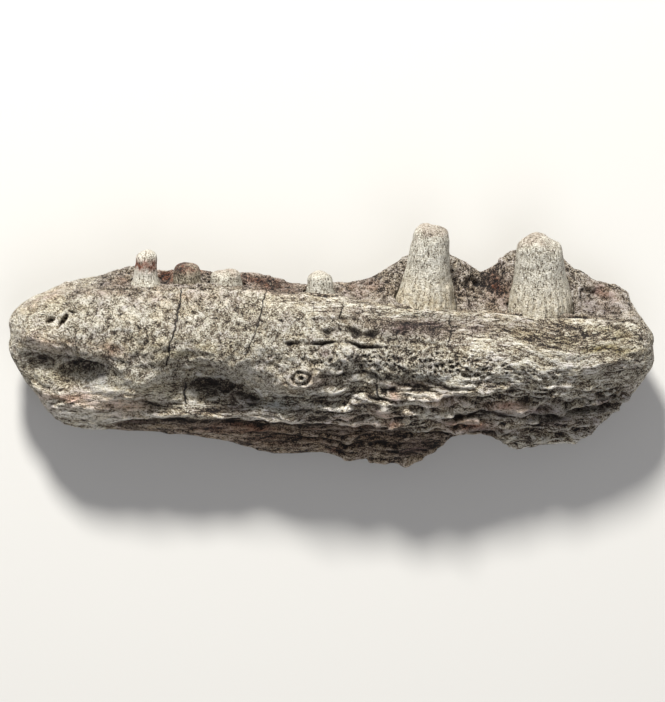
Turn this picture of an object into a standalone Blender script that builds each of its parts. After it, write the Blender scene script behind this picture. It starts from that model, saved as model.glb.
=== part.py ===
"""Fossil piece of a metoposaur's lower jaw, lying on its inner side.

The bone runs along X, its tooth row faces +Y and its outer face looks up, +Z. The bone is one lofted
solid: long rails run the length of the jaw, a section through the rails is extruded from end to end, and
the hollows, ribs and lumps are then pressed into it. Six tooth stumps stand in sockets of their own.
All sizes below are real millimetres. The origin is the middle of the underside.
"""

import math

import bmesh
import bpy
from mathutils import Matrix, Vector, noise

MM = 0.001

# Driving sizes
JAW_LENGTH = 105.0
HALF_LENGTH = JAW_LENGTH / 2
SOCKET_GAP = 0.3
FLAT_HEIGHT = 0.0
CUT_TOLERANCE = 1e-5
SHARP_ANGLE = math.radians(40)

# Fineness of the loft
SECTIONS = 52
POINTS_PER_SPAN = 4
END_CROWDING = 0.55

# Rails are lists of (x, y, z) along the jaw, seen from above in the pose in which it lies
SHELF_EDGE = [
    (-52.4, 3.4, 9.4), (-51.7, 4.9, 9.2), (-50.6, 6.0, 9.0), (-48.2, 7.5, 8.8), (-44.2, 9.1, 8.6),
    (-40.2, 10.4, 8.6), (-35.5, 11.2, 8.6), (-32.6, 12.5, 9.0), (-27.2, 11.9, 8.8), (-23.5, 12.4, 8.8),
    (-17.0, 11.7, 8.6), (-11.0, 11.0, 8.4), (-6.5, 9.7, 8.2), (1.0, 9.9, 8.4), (6.6, 10.5, 8.8),
    (9.2, 11.6, 9.2), (11.2, 13.6, 9.6), (15.5, 14.0, 9.8), (20.0, 13.4, 9.6), (23.6, 11.5, 8.6),
    (26.6, 12.9, 9.0), (29.0, 14.8, 9.4), (31.6, 14.8, 9.6), (36.0, 13.7, 9.6), (39.3, 11.2, 9.0),
    (44.0, 9.4, 8.8), (46.4, 8.9, 8.9), (47.7, 7.7, 9.0), (48.6, 5.6, 9.0), (49.4, 3.8, 9.2),
    (50.9, 2.1, 9.4), (52.4, 0.8, 9.6),
]
PARAPET = [
    (-52.4, 2.8, 12.2), (-51.2, 4.2, 14.0), (-46.0, 6.8, 15.8), (-40.0, 8.0, 16.6), (-34.0, 8.6, 17.0),
    (-26.0, 8.6, 17.2), (-18.0, 8.7, 17.2), (-8.0, 8.2, 17.2), (1.5, 7.5, 17.2), (8.0, 6.1, 17.2),
    (19.0, 5.2, 17.0), (29.0, 4.8, 16.6), (38.5, 4.1, 16.0), (45.5, 3.7, 15.2), (48.6, 3.0, 14.4),
    (50.5, 1.8, 13.6), (52.4, 0.5, 12.4),
]
CREST = [
    (-52.4, 1.4, 13.6), (-51.4, 1.2, 15.8), (-48.5, 1.4, 18.0), (-42.0, 1.2, 20.0), (-30.0, 1.0, 21.2),
    (-15.0, 0.2, 22.0), (0.0, -1.2, 22.0), (15.0, -2.2, 21.6), (30.0, -2.6, 20.6), (41.0, -2.6, 19.0),
    (48.5, -2.2, 17.0), (51.4, -1.4, 15.2), (52.4, -1.1, 13.6),
]
LEDGE = [
    (-52.4, -0.4, 11.2), (-50.4, -3.2, 11.6), (-46.0, -8.2, 12.0), (-42.0, -11.4, 12.2),
    (-36.0, -12.0, 12.8), (-24.0, -12.6, 13.4), (-15.0, -12.9, 13.6), (-2.0, -13.8, 13.6),
    (11.0, -14.2, 13.6), (20.0, -14.0, 13.4), (27.0, -12.6, 13.0), (37.0, -11.8, 12.6),
    (44.0, -9.8, 12.0), (48.5, -6.8, 11.6), (51.4, -3.8, 11.2), (52.4, -2.6, 11.0),
]
FLANGE = [
    (-52.4, -0.8, 7.8), (-50.4, -4.1, 7.2), (-48.4, -7.2, 6.8), (-46.2, -9.9, 6.6), (-44.2, -11.9, 6.5),
    (-41.4, -13.6, 6.4), (-36.0, -14.0, 6.6), (-31.5, -14.3, 7.0), (-24.0, -15.5, 7.2), (-17.0, -16.1, 7.0),
    (-12.0, -17.4, 6.6), (-3.0, -18.4, 6.2), (5.0, -19.3, 6.0), (12.0, -19.5, 6.0), (15.6, -18.7, 6.2),
    (19.0, -15.9, 6.8), (23.0, -15.1, 7.2), (26.2, -16.1, 7.0), (29.4, -17.2, 6.6), (36.0, -16.9, 6.4),
    (39.6, -15.9, 6.6), (43.9, -12.8, 6.8), (47.3, -9.7, 7.2), (50.2, -6.4, 7.4), (51.5, -4.2, 7.6),
    (52.4, -3.0, 7.8),
]
# How far the step under the ledge is cut back, as (x, depth)
UNDERCUT = [
    (-52.4, 0.0), (-36.0, 0.1), (-29.0, 0.9), (-18.0, 1.4), (-4.0, 2.2), (12.0, 2.7), (19.0, 2.2),
    (24.0, 1.0), (30.0, 1.3), (40.0, 1.5), (46.0, 0.7), (52.4, 0.0),
]

# The inner side, on which the jaw lies: bowed, worn flat in the middle, with the nerve canal's groove behind
KEEL_INSET = 3.2
KEEL_HEIGHT = 3.0
BELLY_FRONT = 9.4
BELLY_BACK = 0.6
BELLY_PRESS = 0.55
BELLY_HALF_LENGTH = 15.0
BELLY_RISE = 4.6
BELLY_RISE_POWER = 1.7
CANAL_LIP_INSET = 5.2
CANAL_LIP_HEIGHT = 1.7
CANAL_INSET = 5.8
CANAL_HEIGHT = 4.6
SHELF_UNDER_INSET = 0.8
SHELF_THICKNESS = 2.6
# The ledge behind the parapet in which the teeth stand, and how full the face is between its rails
TROUGH_SETBACK = 1.1
TROUGH_DROP = 4.0
SHOULDER_PLACE = 0.4
SHOULDER_SWELL = 0.7
FACE_PLACE = 0.5
FACE_SWELL = 1.2
STEP_PLACE = 0.38
# The share of its full bow that the section keeps at the two blunt ends
END_FULLNESS = 0.3
END_FADE_POWER = 8
# The two ends are rounded over: what lies above and below their middle height is drawn in along the jaw
END_MIDDLE_HEIGHT = 10.6
END_HALF_HEIGHT = 7.0
END_DRAWN_IN = 4.2
END_ZONE = 12.0
END_MOST_OFF_MIDDLE = 1.4
# Then the last of each end is smoothed over
END_SOFTENED = 3.0
END_SMOOTHINGS = 5

# Presses into the face: (x, y, half length, half width, turn in degrees, depth)
HOLLOWS = {
    "front_hollow": (-41.2, -4.3, 5.6, 2.5, -8, 2.3),
    "front_hollow_tail": (-47.0, -2.2, 3.0, 1.4, -10, 1.1),
    "deep_hollow": (-20.0, -7.6, 4.4, 2.8, -6, 3.9),
    "deep_hollow_tail": (-13.6, -9.2, 4.8, 2.0, -24, 2.0),
    "deep_hollow_lip": (-27.4, -9.0, 2.8, 2.2, 0, 1.0),
    "nerve_pit": (-44.3, 3.4, 1.7, 1.2, 0, 0.9),
    "brow_groove": (0.4, 2.4, 5.0, 1.4, 4, 0.9),
    "eye_groove": (5.0, -7.8, 4.6, 1.6, 6, 0.8),
    "rear_groove": (42.4, -9.2, 5.2, 1.5, 14, 1.9),
    "rear_groove_front": (33.0, -11.2, 5.6, 1.3, -2, 1.3),
    "middle_groove": (23.4, -10.6, 5.2, 1.3, 4, 1.2),
    "shelf_pit_front": (-27.0, 10.6, 1.6, 1.8, 0, 1.0),
    "shelf_pit_middle": (-9.6, 9.6, 4.6, 1.6, 0, 0.8),
    "shelf_pit_rear": (5.6, 9.0, 3.6, 1.6, 0, 0.7),
    "shelf_pit_large": (24.2, 9.2, 3.2, 3.0, 0, 1.5),
    "shelf_pit_last": (42.6, 6.8, 2.6, 1.8, 0, 1.3),
}
# Raised forms, in the same way: (x, y, half length, half width, turn in degrees, height)
SWELLINGS = {
    "front_ridge": (-39.4, -1.0, 6.0, 1.5, -22, 0.9),
    "front_knob": (-49.0, 2.6, 2.6, 2.4, 0, 0.4),
    "bulge_between_hollows": (-30.2, -6.6, 3.6, 2.2, -10, 0.9),
    "front_foot": (-40.0, -10.4, 6.0, 2.2, -4, 0.7),
    "pale_boss": (2.2, -2.0, 3.0, 1.6, 0, 0.5),
    "rim_of_deep_hollow": (-19.0, -11.9, 6.4, 0.9, 0, 0.7),
    "middle_rib": (9.0, -10.2, 4.0, 1.6, 18, 0.7),
    "rear_rib": (20.0, -8.4, 6.0, 1.4, -2, 0.6),
    "collar_left_of_tooth_5": (8.2, 9.8, 1.8, 3.0, 0, 1.5),
    "collar_right_of_tooth_5": (20.4, 10.0, 1.7, 3.0, 0, 1.7),
    "collar_left_of_tooth_6": (27.6, 9.8, 1.5, 3.0, 0, 1.7),
    "collar_right_of_tooth_6": (39.4, 8.6, 1.8, 3.0, 0, 1.3),
    "shelf_by_tooth_1": (-35.0, 9.4, 2.2, 1.8, 0, 0.8),
    "shelf_after_tooth_3": (-12.0, 9.4, 2.4, 1.6, 0, 0.8),
    "rim_of_last_socket": (46.6, 6.4, 3.4, 1.0, -55, 1.2),
}
# The hollows and swellings act on the side whose normals face up, in full from the second of these on
OUTER_FACE_NORMALS = (-0.35, 0.15)
# Lumps all over: (size of a lump, height)
LUMPS = [(11.0, 0.55), (5.0, 0.38)]
# Lumps drawn out along the grain of the bone, on the face below GRAIN_TOP
GRAIN_LENGTH = 9.0
GRAIN_WIDTH = 2.3
GRAIN_HEIGHT = 0.5
GRAIN_TOP = 2.0
GRAIN_FADE = 8.0

# Teeth: the middle of the foot, the lean along the jaw, the stump's height up to its domed tip, half widths
# at foot and tip, how fast it tapers, the dome's height as a share of the tip, the root's length, the mesh's
# fineness, how flattened the stump is, and its tip's dent as (place, depth)
TOOTH_RISE = 0.34
TEETH = {
    "tooth_1": {
        "base": (-30.1, 8.2, 12.4), "lean": 0.04, "height": 5.8, "radius": 2.45, "tip": 2.05, "taper": 0.7,
        "dome": 0.85, "root": 3.0, "sides": 16, "rings": 5, "flatten": 0.9, "dent": (-0.9, 0.3),
    },
    "tooth_2": {
        "base": (-23.2, 8.0, 11.8), "lean": -0.08, "height": 4.3, "radius": 2.9, "tip": 2.4, "taper": 0.9,
        "dome": 0.6, "root": 3.0, "sides": 16, "rings": 4, "flatten": 0.9, "dent": (0.9, 0.4),
    },
    "tooth_3": {
        "base": (-17.0, 8.0, 11.8), "lean": 0.0, "height": 3.4, "radius": 3.1, "tip": 2.6, "taper": 1.0,
        "dome": 0.38, "root": 3.0, "sides": 16, "rings": 4, "flatten": 0.85, "dent": (-0.8, 0.3),
    },
    "tooth_4": {
        "base": (-1.8, 7.0, 12.6), "lean": -0.02, "height": 3.6, "radius": 2.8, "tip": 2.25, "taper": 0.8,
        "dome": 0.75, "root": 3.2, "sides": 16, "rings": 4, "flatten": 0.9, "dent": (0.8, 0.25),
    },
    "tooth_5": {
        "base": (15.2, 5.6, 12.2), "lean": 0.08, "height": 12.3, "radius": 5.0, "tip": 3.25, "taper": 0.75,
        "dome": 0.75, "root": 4.6, "sides": 24, "rings": 8, "flatten": 0.85, "dent": (0.5, 0.4),
    },
    "tooth_6": {
        "base": (33.9, 5.0, 11.8), "lean": -0.03, "height": 11.2, "radius": 5.2, "tip": 3.9, "taper": 1.0,
        "dome": 0.62, "root": 4.6, "sides": 24, "rings": 8, "flatten": 0.82, "dent": (2.2, 0.8),
    },
}
# A stump's root narrows downwards by this share of its own length
ROOT_NARROWING = 0.45
# Heights of the rings that round a tip over, as shares of its dome
DOME_STOPS = (0.4, 0.7, 0.92)
# The dent acts from this share of the height up, and the uneven wear from that of WEAR_FROM
DENT_WIDTH = 1.1
DENT_FROM = 0.67
WEAR_FROM = 0.33
TOOTH_WOBBLE = 0.18
TOOTH_WOBBLE_SIZE = 2.6
FLUTES = 12
FLUTE_DEPTH = 0.16

BONE_COLOUR = (0.33, 0.29, 0.23, 1.0)
TOOTH_COLOUR = (0.52, 0.49, 0.42, 1.0)
BONE_ROUGHNESS = 0.62
TOOTH_ROUGHNESS = 0.5


def clear_scene():
    for obj in list(bpy.data.objects):
        bpy.data.objects.remove(obj, do_unlink=True)


def stone_material(name, colour, roughness):
    material = bpy.data.materials.new(name)
    material.use_nodes = True
    shader = material.node_tree.nodes["Principled BSDF"]
    shader.inputs["Base Color"].default_value = colour
    shader.inputs["Roughness"].default_value = roughness
    shader.inputs["Metallic"].default_value = 0.0
    return material


def ramp(value, low, high):
    """0 up to low, 1 from high on, and straight between."""
    return max(0.0, min(1.0, (value - low) / (high - low)))


def hermite(before, start, end, after, share):
    """A smooth value between start and end, for knots given as (place, value)."""
    (x0, y0), (x1, y1), (x2, y2), (x3, y3) = before, start, end, after
    slope_start = (y2 - y0) / (x2 - x0)
    slope_end = (y3 - y1) / (x3 - x1)
    span = x2 - x1
    t2 = share * share
    t3 = t2 * share
    return (
        (2 * t3 - 3 * t2 + 1) * y1
        + (t3 - 2 * t2 + share) * span * slope_start
        + (3 * t2 - 2 * t3) * y2
        + (t3 - t2) * span * slope_end
    )


def along(rail, x):
    """The rail's values other than x, read at x on the smooth curve through its knots."""
    last = len(rail) - 2
    span = 0
    while span < last and x > rail[span + 1][0]:
        span += 1
    start, end = rail[span], rail[span + 1]
    before = rail[span - 1] if span else start
    after = rail[span + 2] if span < last else end
    share = ramp(x, start[0], end[0])
    return [
        hermite((before[0], before[i]), (start[0], start[i]), (end[0], end[i]), (after[0], after[i]), share)
        for i in range(1, len(start))
    ]


def end_fade(x):
    """1 along the jaw, less at its two broken ends."""
    rounded = max(0.0, 1 - (abs(x) / HALF_LENGTH) ** END_FADE_POWER) ** 0.5
    return END_FULLNESS + (1 - END_FULLNESS) * rounded


def outer_corners(x, fade):
    """The points (y, z) of the section at x over the outer face, from the tooth shelf to the lower flange."""
    shelf, parapet, crest, ledge, flange = (
        Vector(along(rail, x)) for rail in (SHELF_EDGE, PARAPET, CREST, LEDGE, FLANGE)
    )
    (undercut,) = along(UNDERCUT, x)
    trough = Vector((parapet.x + TROUGH_SETBACK * fade, parapet.y - TROUGH_DROP * fade))
    shoulder = parapet.lerp(crest, SHOULDER_PLACE) + Vector((0, SHOULDER_SWELL * fade))
    lower_face = crest.lerp(ledge, FACE_PLACE) + Vector((0, FACE_SWELL * fade))
    step = ledge.lerp(flange, STEP_PLACE) + Vector((undercut, 0))
    return [shelf, trough, parapet, shoulder, crest, lower_face, ledge, step, flange]


def inner_corners(x, fade, shelf, flange):
    """The points (y, z) of the section at x under the jaw, from the lower flange back to the tooth shelf."""
    past_belly = ramp(abs(x), BELLY_HALF_LENGTH, HALF_LENGTH)
    floor = (BELLY_RISE + BELLY_PRESS) * past_belly**BELLY_RISE_POWER - BELLY_PRESS
    middle = (shelf.x + flange.x) / 2
    belly_front = middle + (flange.x + BELLY_FRONT - middle) * fade
    belly_back = middle + (BELLY_BACK - middle) * fade
    return [
        Vector((flange.x + KEEL_INSET * fade, floor + KEEL_HEIGHT * fade)),
        Vector((min(belly_front, belly_back - 1), floor)),
        Vector((belly_back, floor)),
        Vector((shelf.x - CANAL_LIP_INSET * fade, floor + CANAL_LIP_HEIGHT * fade)),
        Vector((shelf.x - CANAL_INSET * fade, floor + CANAL_HEIGHT * fade)),
        Vector((shelf.x - SHELF_UNDER_INSET * fade, shelf.y - SHELF_THICKNESS * fade)),
    ]


def section(x):
    """The closed ring of points at x: a smooth curve through the section's corners."""
    fade = end_fade(x)
    outer = outer_corners(x, fade)
    corners = outer + inner_corners(x, fade, outer[0], outer[-1])
    count = len(corners)
    ring = []
    for i in range(count):
        p0, p1, p2, p3 = (corners[(i + j) % count] for j in (-1, 0, 1, 2))
        for k in range(POINTS_PER_SPAN):
            t = k / POINTS_PER_SPAN
            bend = 2 * p0 - 5 * p1 + 4 * p2 - p3
            twist = 3 * p1 - p0 - 3 * p2 + p3
            point = 0.5 * (2 * p1 + (p2 - p0) * t + bend * t**2 + twist * t**3)
            ring.append(Vector((rounded_over(x, point.y), point.x, point.y)))
    return ring


def rounded_over(x, z):
    """x drawn in from the jaw's ends, by more the farther z is from their middle height."""
    to_end = ramp(abs(x), HALF_LENGTH - END_ZONE, HALF_LENGTH)
    off_middle = min(END_MOST_OFF_MIDDLE, abs(z - END_MIDDLE_HEIGHT) / END_HALF_HEIGHT)
    return x - math.copysign(END_DRAWN_IN * to_end**2 * off_middle**2, x)


def stations():
    """Places of the sections along the jaw, closer together at its two rounded ends."""
    places = []
    for i in range(SECTIONS):
        even = 2 * i / (SECTIONS - 1) - 1
        crowded = math.sin(even * math.pi / 2)
        places.append(HALF_LENGTH * (even * END_CROWDING + crowded * (1 - END_CROWDING)))
    return places


def extrude_through(bm, rings):
    """Extrudes a face from ring to ring, and closes both ends with a fan."""
    face = bm.faces.new([bm.verts.new(point) for point in rings[0]])
    for ring in rings[1:]:
        face = bmesh.ops.extrude_discrete_faces(bm, faces=[face])["faces"][0]
        for vert, point in zip(face.verts, ring):
            vert.co = point
    open_edges = [edge for edge in bm.edges if edge.is_boundary]
    start = bmesh.ops.holes_fill(bm, edges=open_edges)["faces"]
    bmesh.ops.poke(bm, faces=[face] + start)
    bmesh.ops.recalc_face_normals(bm, faces=bm.faces)


def mound(x, y, form):
    """0 to 1: how strongly a hollow or swelling acts at (x, y)."""
    centre_x, centre_y, half_length, half_width, turn, _ = form
    angle = math.radians(turn)
    dx, dy = x - centre_x, y - centre_y
    u = (dx * math.cos(angle) + dy * math.sin(angle)) / half_length
    v = (dy * math.cos(angle) - dx * math.sin(angle)) / half_width
    return math.exp(-(u * u + v * v))


def relief(point, normal):
    """How far the surface stands out at a point, in millimetres."""
    on_outer_face = ramp(normal.z, *OUTER_FACE_NORMALS)
    raised = sum(form[-1] * mound(point.x, point.y, form) for form in SWELLINGS.values())
    pressed = sum(form[-1] * mound(point.x, point.y, form) for form in HOLLOWS.values())
    height = (raised - pressed) * on_outer_face
    for size, amount in LUMPS:
        height += amount * noise.noise(point / size)
    drawn_out = Vector((point.x / GRAIN_LENGTH, point.y / GRAIN_WIDTH, point.z / GRAIN_WIDTH))
    low_on_face = 1 - ramp(point.y, GRAIN_TOP - GRAIN_FADE, GRAIN_TOP)
    height += GRAIN_HEIGHT * low_on_face * (1 - 2 * abs(noise.noise(drawn_out)))
    return height * end_fade(point.x)


def weather(bm):
    """Moves every point along its normal by the relief there."""
    bm.normal_update()
    moves = [(vert, vert.normal * relief(vert.co, vert.normal)) for vert in bm.verts]
    for vert, move in moves:
        vert.co += move


def soften_ends(bm):
    """Smooths the last few millimetres of the two broken ends."""
    ends = [vert for vert in bm.verts if abs(vert.co.x) > HALF_LENGTH - END_SOFTENED]
    for _ in range(END_SMOOTHINGS):
        bmesh.ops.smooth_vert(bm, verts=ends, factor=0.5, use_axis_x=True, use_axis_y=True, use_axis_z=True)


def wear_flat(bm):
    """Cuts the underside off in one plane, the spot on which the jaw rests."""
    everything = list(bm.verts) + list(bm.edges) + list(bm.faces)
    cut = bmesh.ops.bisect_plane(
        bm,
        geom=everything,
        dist=CUT_TOLERANCE,
        plane_co=(0, 0, FLAT_HEIGHT),
        plane_no=(0, 0, 1),
        clear_inner=True,
    )
    edges = [item for item in cut["geom_cut"] if isinstance(item, bmesh.types.BMEdge)]
    bmesh.ops.holes_fill(bm, edges=edges)
    bmesh.ops.recalc_face_normals(bm, faces=bm.faces)


def finish(bm, name, material):
    """Makes the object, at its real size in metres."""
    bmesh.ops.scale(bm, verts=bm.verts, vec=(MM, MM, MM))
    mesh = bpy.data.meshes.new(name)
    bm.to_mesh(mesh)
    bm.free()
    if material:
        mesh.materials.append(material)
    mesh.shade_smooth()
    mesh.set_sharp_from_angle(angle=SHARP_ANGLE)
    obj = bpy.data.objects.new(name, mesh)
    bpy.context.scene.collection.objects.link(obj)
    return obj


def jaw_bone(material):
    bm = bmesh.new()
    extrude_through(bm, [section(x) for x in stations()])
    weather(bm)
    soften_ends(bm)
    length = max(vert.co.x for vert in bm.verts) - min(vert.co.x for vert in bm.verts)
    bmesh.ops.scale(bm, verts=bm.verts, vec=(JAW_LENGTH / length, 1, 1))
    wear_flat(bm)
    return finish(bm, "jaw_bone", material)


def tooth_profile(size, share):
    """Half width of a stump at a share of its height: it tapers upwards, and its root narrows downwards."""
    if share < 0:
        return size["radius"] * (1 + ROOT_NARROWING * share)
    return size["radius"] + (size["tip"] - size["radius"]) * share ** size["taper"]


def tooth_frame(size):
    """The stump's axis, and the two directions across it."""
    axis = Vector((size["lean"], 1.0, TOOTH_RISE)).normalized()
    side = (Vector((1, 0, 0)) - axis * axis.x).normalized()
    return axis, side, axis.cross(side)


def tooth_ring(size, along_axis, half, flute=0.0):
    """One ring of the stump: an oval at a distance up its axis, rippled by the flutes."""
    axis, side, front = tooth_frame(size)
    centre = Vector(size["base"]) + axis * along_axis
    ring = []
    for k in range(size["sides"]):
        angle = 2 * math.pi * k / size["sides"]
        reach = half + flute * math.cos(FLUTES * angle)
        across = side * math.cos(angle) + front * size["flatten"] * math.sin(angle)
        ring.append(centre + across * reach)
    return ring


def tooth_rings(size, gap=0.0):
    """Rings of a stump from its root to its tip, or of its socket, which is wider by the gap."""
    height = size["height"]
    stops = [-size["root"] - gap] + [height * i / (size["rings"] - 1) for i in range(size["rings"])]
    rings = []
    for stop in stops:
        share = stop / height
        flute = 0.0 if gap else FLUTE_DEPTH * (1 - share)
        rings.append(tooth_ring(size, stop, tooth_profile(size, share) + gap, flute))
    for share in DOME_STOPS:
        half = (size["tip"] + gap) * math.sqrt(1 - share * share)
        rings.append(tooth_ring(size, height + size["dome"] * size["tip"] * share + gap, half))
    return rings


def break_tip(bm, size):
    """Dents the stump's broken tip to one side, and roughens all that stands clear of the socket."""
    axis, side, _ = tooth_frame(size)
    base = Vector(size["base"])
    across, depth = size["dent"]
    bm.normal_update()
    for vert in bm.verts:
        from_base = vert.co - base
        up = from_base.dot(axis) / size["height"]
        dent = math.exp(-(((from_base.dot(side) - across) / DENT_WIDTH) ** 2))
        wobble = TOOTH_WOBBLE * noise.noise(vert.co / TOOTH_WOBBLE_SIZE)
        vert.co += vert.normal * wobble * ramp(up, WEAR_FROM, DENT_FROM)
        vert.co -= axis * depth * dent * ramp(up, DENT_FROM, 1)


def tooth(name, size, material):
    bm = bmesh.new()
    extrude_through(bm, tooth_rings(size))
    break_tip(bm, size)
    return finish(bm, name, material)


def socket(name, size):
    """A cutter that takes the stump's own shape, and the gap round it, out of the bone."""
    bm = bmesh.new()
    extrude_through(bm, tooth_rings(size, SOCKET_GAP))
    cutter = finish(bm, name, None)
    cutter.hide_render = True
    cutter.display_type = "WIRE"
    return cutter


def centre_on_origin(objects):
    """Moves everything so that the middle of the underside is the origin."""
    corners = [obj.matrix_world @ vert.co for obj in objects for vert in obj.data.vertices]
    middle_x = (min(c.x for c in corners) + max(c.x for c in corners)) / 2
    middle_y = (min(c.y for c in corners) + max(c.y for c in corners)) / 2
    shift = Matrix.Translation((-middle_x, -middle_y, 0))
    for obj in bpy.data.objects:
        obj.data.transform(shift)


def build():
    clear_scene()
    bone_stone = stone_material("fossil_bone", BONE_COLOUR, BONE_ROUGHNESS)
    tooth_stone = stone_material("fossil_tooth", TOOTH_COLOUR, TOOTH_ROUGHNESS)
    bone = jaw_bone(bone_stone)
    stumps = []
    for name, size in TEETH.items():
        stumps.append(tooth(name, size, tooth_stone))
        cut = bone.modifiers.new(name + "_socket", "BOOLEAN")
        cut.operation = "DIFFERENCE"
        cut.object = socket(name + "_socket", size)
    centre_on_origin([bone] + stumps)


build()
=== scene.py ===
"""The looks of a fossil jaw piece: its weathered bone and its six broken tooth stumps.

The bone lies on its inner side, with its outer face up and its tooth row towards +Y. Each CAD solid is
copied, remeshed finely and weathered here into the surface of real fossil bone. Lengths are in millimetres,
except where a name ends in _M, which is metres.
"""

import math

import bmesh
import bpy
import numpy as np
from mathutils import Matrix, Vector, noise


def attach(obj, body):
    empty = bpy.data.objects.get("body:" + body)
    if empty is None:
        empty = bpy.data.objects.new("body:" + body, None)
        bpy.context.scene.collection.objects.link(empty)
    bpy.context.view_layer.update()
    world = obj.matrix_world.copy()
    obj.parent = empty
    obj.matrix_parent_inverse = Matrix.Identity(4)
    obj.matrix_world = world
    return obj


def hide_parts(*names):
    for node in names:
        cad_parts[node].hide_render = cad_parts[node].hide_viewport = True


MM = 0.001

# Fineness of the meshes: the side of one face. The worn bone is thinned in the end to keep its mesh light,
# and its hidden side more than its outer face: the larger the balance, the more so
BONE_VOXEL = 0.24
TOOTH_VOXEL = 0.16
BONE_TRIANGLES = 190000
LOOKS_DOWN = -0.15
OUTER_THINNING = 0.01
THINNING_BALANCE = 1e-6
MERGE_DISTANCE_M = 1e-7

# Lines of the outer face, as (x, y) seen from above
PARAPET_LINE = [
    (-38.1, 8.9), (-34.2, 9.1), (-28.6, 9.2), (-21.6, 8.9), (-18.4, 9.2), (-13.8, 9.1), (-8.2, 8.6),
    (-3.6, 8.2), (1.4, 7.9), (4.3, 7.1), (8.2, 6.5), (13.0, 6.0), (18.8, 5.7), (25.5, 5.5), (29.0, 5.2),
    (32.8, 4.7), (38.6, 4.5), (42.3, 4.4), (45.7, 4.2), (48.6, 3.7), (50.1, 2.9),
]
LEDGE_LINE = [
    (-35.8, -13.1), (-29.4, -12.4), (-24.0, -12.3), (-14.8, -12.4), (-8.3, -12.9), (-1.9, -13.4),
    (4.6, -13.6), (11.1, -13.9), (17.6, -14.1), (21.9, -14.4), (27.3, -14.5),
]
# Creases along the bone: points, width, depth, and how far the surface below steps down
CREASES = {
    "right_ledge": (
        [(30.5, -9.2), (33.7, -9.2), (37.4, -9.5), (39.4, -9.8), (41.8, -9.5), (45.1, -8.8), (47.4, -8.2)],
        0.45, 0.9, 0.9,
    ),
    "bulge_top": (
        [(19.4, -12.2), (22.4, -11.4), (24.0, -11.0), (26.0, -11.1), (27.6, -11.6), (30.5, -11.9),
         (32.1, -11.6), (34.5, -11.9), (37.4, -12.2)],
        0.38, 1.0, 0.5,
    ),
    "pink_arch": ([(23.4, -9.8), (24.6, -8.5), (26.0, -8.0), (27.6, -8.4), (29.2, -9.1)], 0.25, 0.5, 0.3),
    "stratum_upper": ([(38.7, -7.4), (43.4, -7.1), (47.6, -6.3)], 0.22, 0.4, 0.25),
    "stratum_lower": ([(38.4, -8.2), (43.4, -8.0), (47.2, -7.3)], 0.22, 0.45, 0.25),
    "straight_seam": ([(-4.4, -12.5), (0.6, -12.3), (6.6, -12.3)], 0.22, 0.6, 0.2),
    "front_ledge": (
        [(-49.6, -1.6), (-46.8, -1.8), (-44.7, -1.6), (-42.3, -2.1), (-37.8, -3.2)], 0.45, 0.35, 0.6,
    ),
    "front_brow": ([(-43.0, -2.9), (-39.6, -3.0), (-37.0, -3.5), (-34.6, -4.6)], 0.35, 0.3, 0.4),
    "shoulder_foot": ([(-31.6, -9.2), (-29.0, -9.9), (-26.0, -10.0), (-23.8, -9.4)], 0.45, 0.5, 0.3),
    "brow_groove": ([(-1.6, 2.3), (1.4, 2.6), (3.0, 2.5), (4.8, 2.1), (7.6, 1.8)], 0.38, 0.95, 0.5),
    "brow_groove_lower": (
        [(-7.4, 0.1), (-4.3, 0.2), (-1.8, 0.2), (0.6, 0.7), (3.0, 0.7), (4.6, -0.2), (7.8, -0.4)],
        0.36, 0.9, 0.5,
    ),
    "band_foot": ([(-3.0, 4.0), (-0.5, 4.1), (2.2, 4.4), (4.6, 3.8)], 0.22, 0.35, 0.4),
    "purple_edge": ([(2.0, 1.9), (8.0, 1.3), (13.0, 0.6), (19.0, -0.4)], 0.4, 0.2, 0.4),
    "eye_brow": ([(-1.6, -5.2), (1.4, -5.2), (4.6, -4.7), (6.6, -4.9), (8.2, -6.0)], 0.3, 0.5, 0.45),
    "lens_groove": ([(-10.0, -9.0), (-3.0, -8.8), (3.0, -8.5), (7.0, -9.6)], 0.35, 0.2, 0.45),
    "lower_seam": ([(-9.0, -11.0), (-3.0, -11.4), (2.0, -10.9), (8.0, -11.6)], 0.3, 0.3, 0.4),
    "rear_seam": ([(9.0, -7.2), (11.6, -6.7), (14.0, -6.9), (20.0, -7.4)], 0.35, 0.45, 0.5),
    "rear_seam_lower": ([(11.0, -9.6), (16.0, -9.9), (20.0, -9.0), (25.0, -8.6)], 0.35, 0.3, 0.5),
    "rear_crease": ([(24.0, -7.0), (30.0, -7.6), (35.0, -8.4)], 0.35, 0.25, 0.45),
    "flange_seam": ([(-14.0, -14.2), (-4.0, -15.6), (6.0, -16.2), (14.0, -16.4)], 0.3, 0.45, 0.2),
}
# Fine cracks that run across the bone: points from top to bottom
CRACKS = {
    "main": [
        (-23.9, 9.1), (-24.2, 7.6), (-24.5, 5.5), (-25.0, 2.8), (-25.6, 0.3), (-26.0, -1.8), (-26.5, -3.4),
    ],
    "second": [
        (-10.3, 8.8), (-11.1, 7.1), (-11.4, 5.0), (-11.6, 3.4), (-12.1, 1.8), (-12.9, 0.2), (-13.5, -1.8),
    ],
    "short": [(-2.8, 6.5), (-2.8, 5.7)],
    "short_behind": [(1.8, 6.0), (1.3, 4.2)],
    "rear": [(19.0, 4.7), (19.2, 2.4), (18.7, 0.3)],
    "by_nodule": [(7.3, -6.6), (7.8, -8.8)],
    "hollow_wall": [(-23.4, -6.4), (-23.7, -8.2), (-23.5, -9.8)],
}
# Cracks that are narrower than the main one, as a share of it
CRACK_WIDTHS = {"second": 0.6, "short": 0.5, "short_behind": 0.7, "rear": 0.6}
# The distance that counts as away from every crack
FAR_FROM_CRACKS = 5.0
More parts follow.
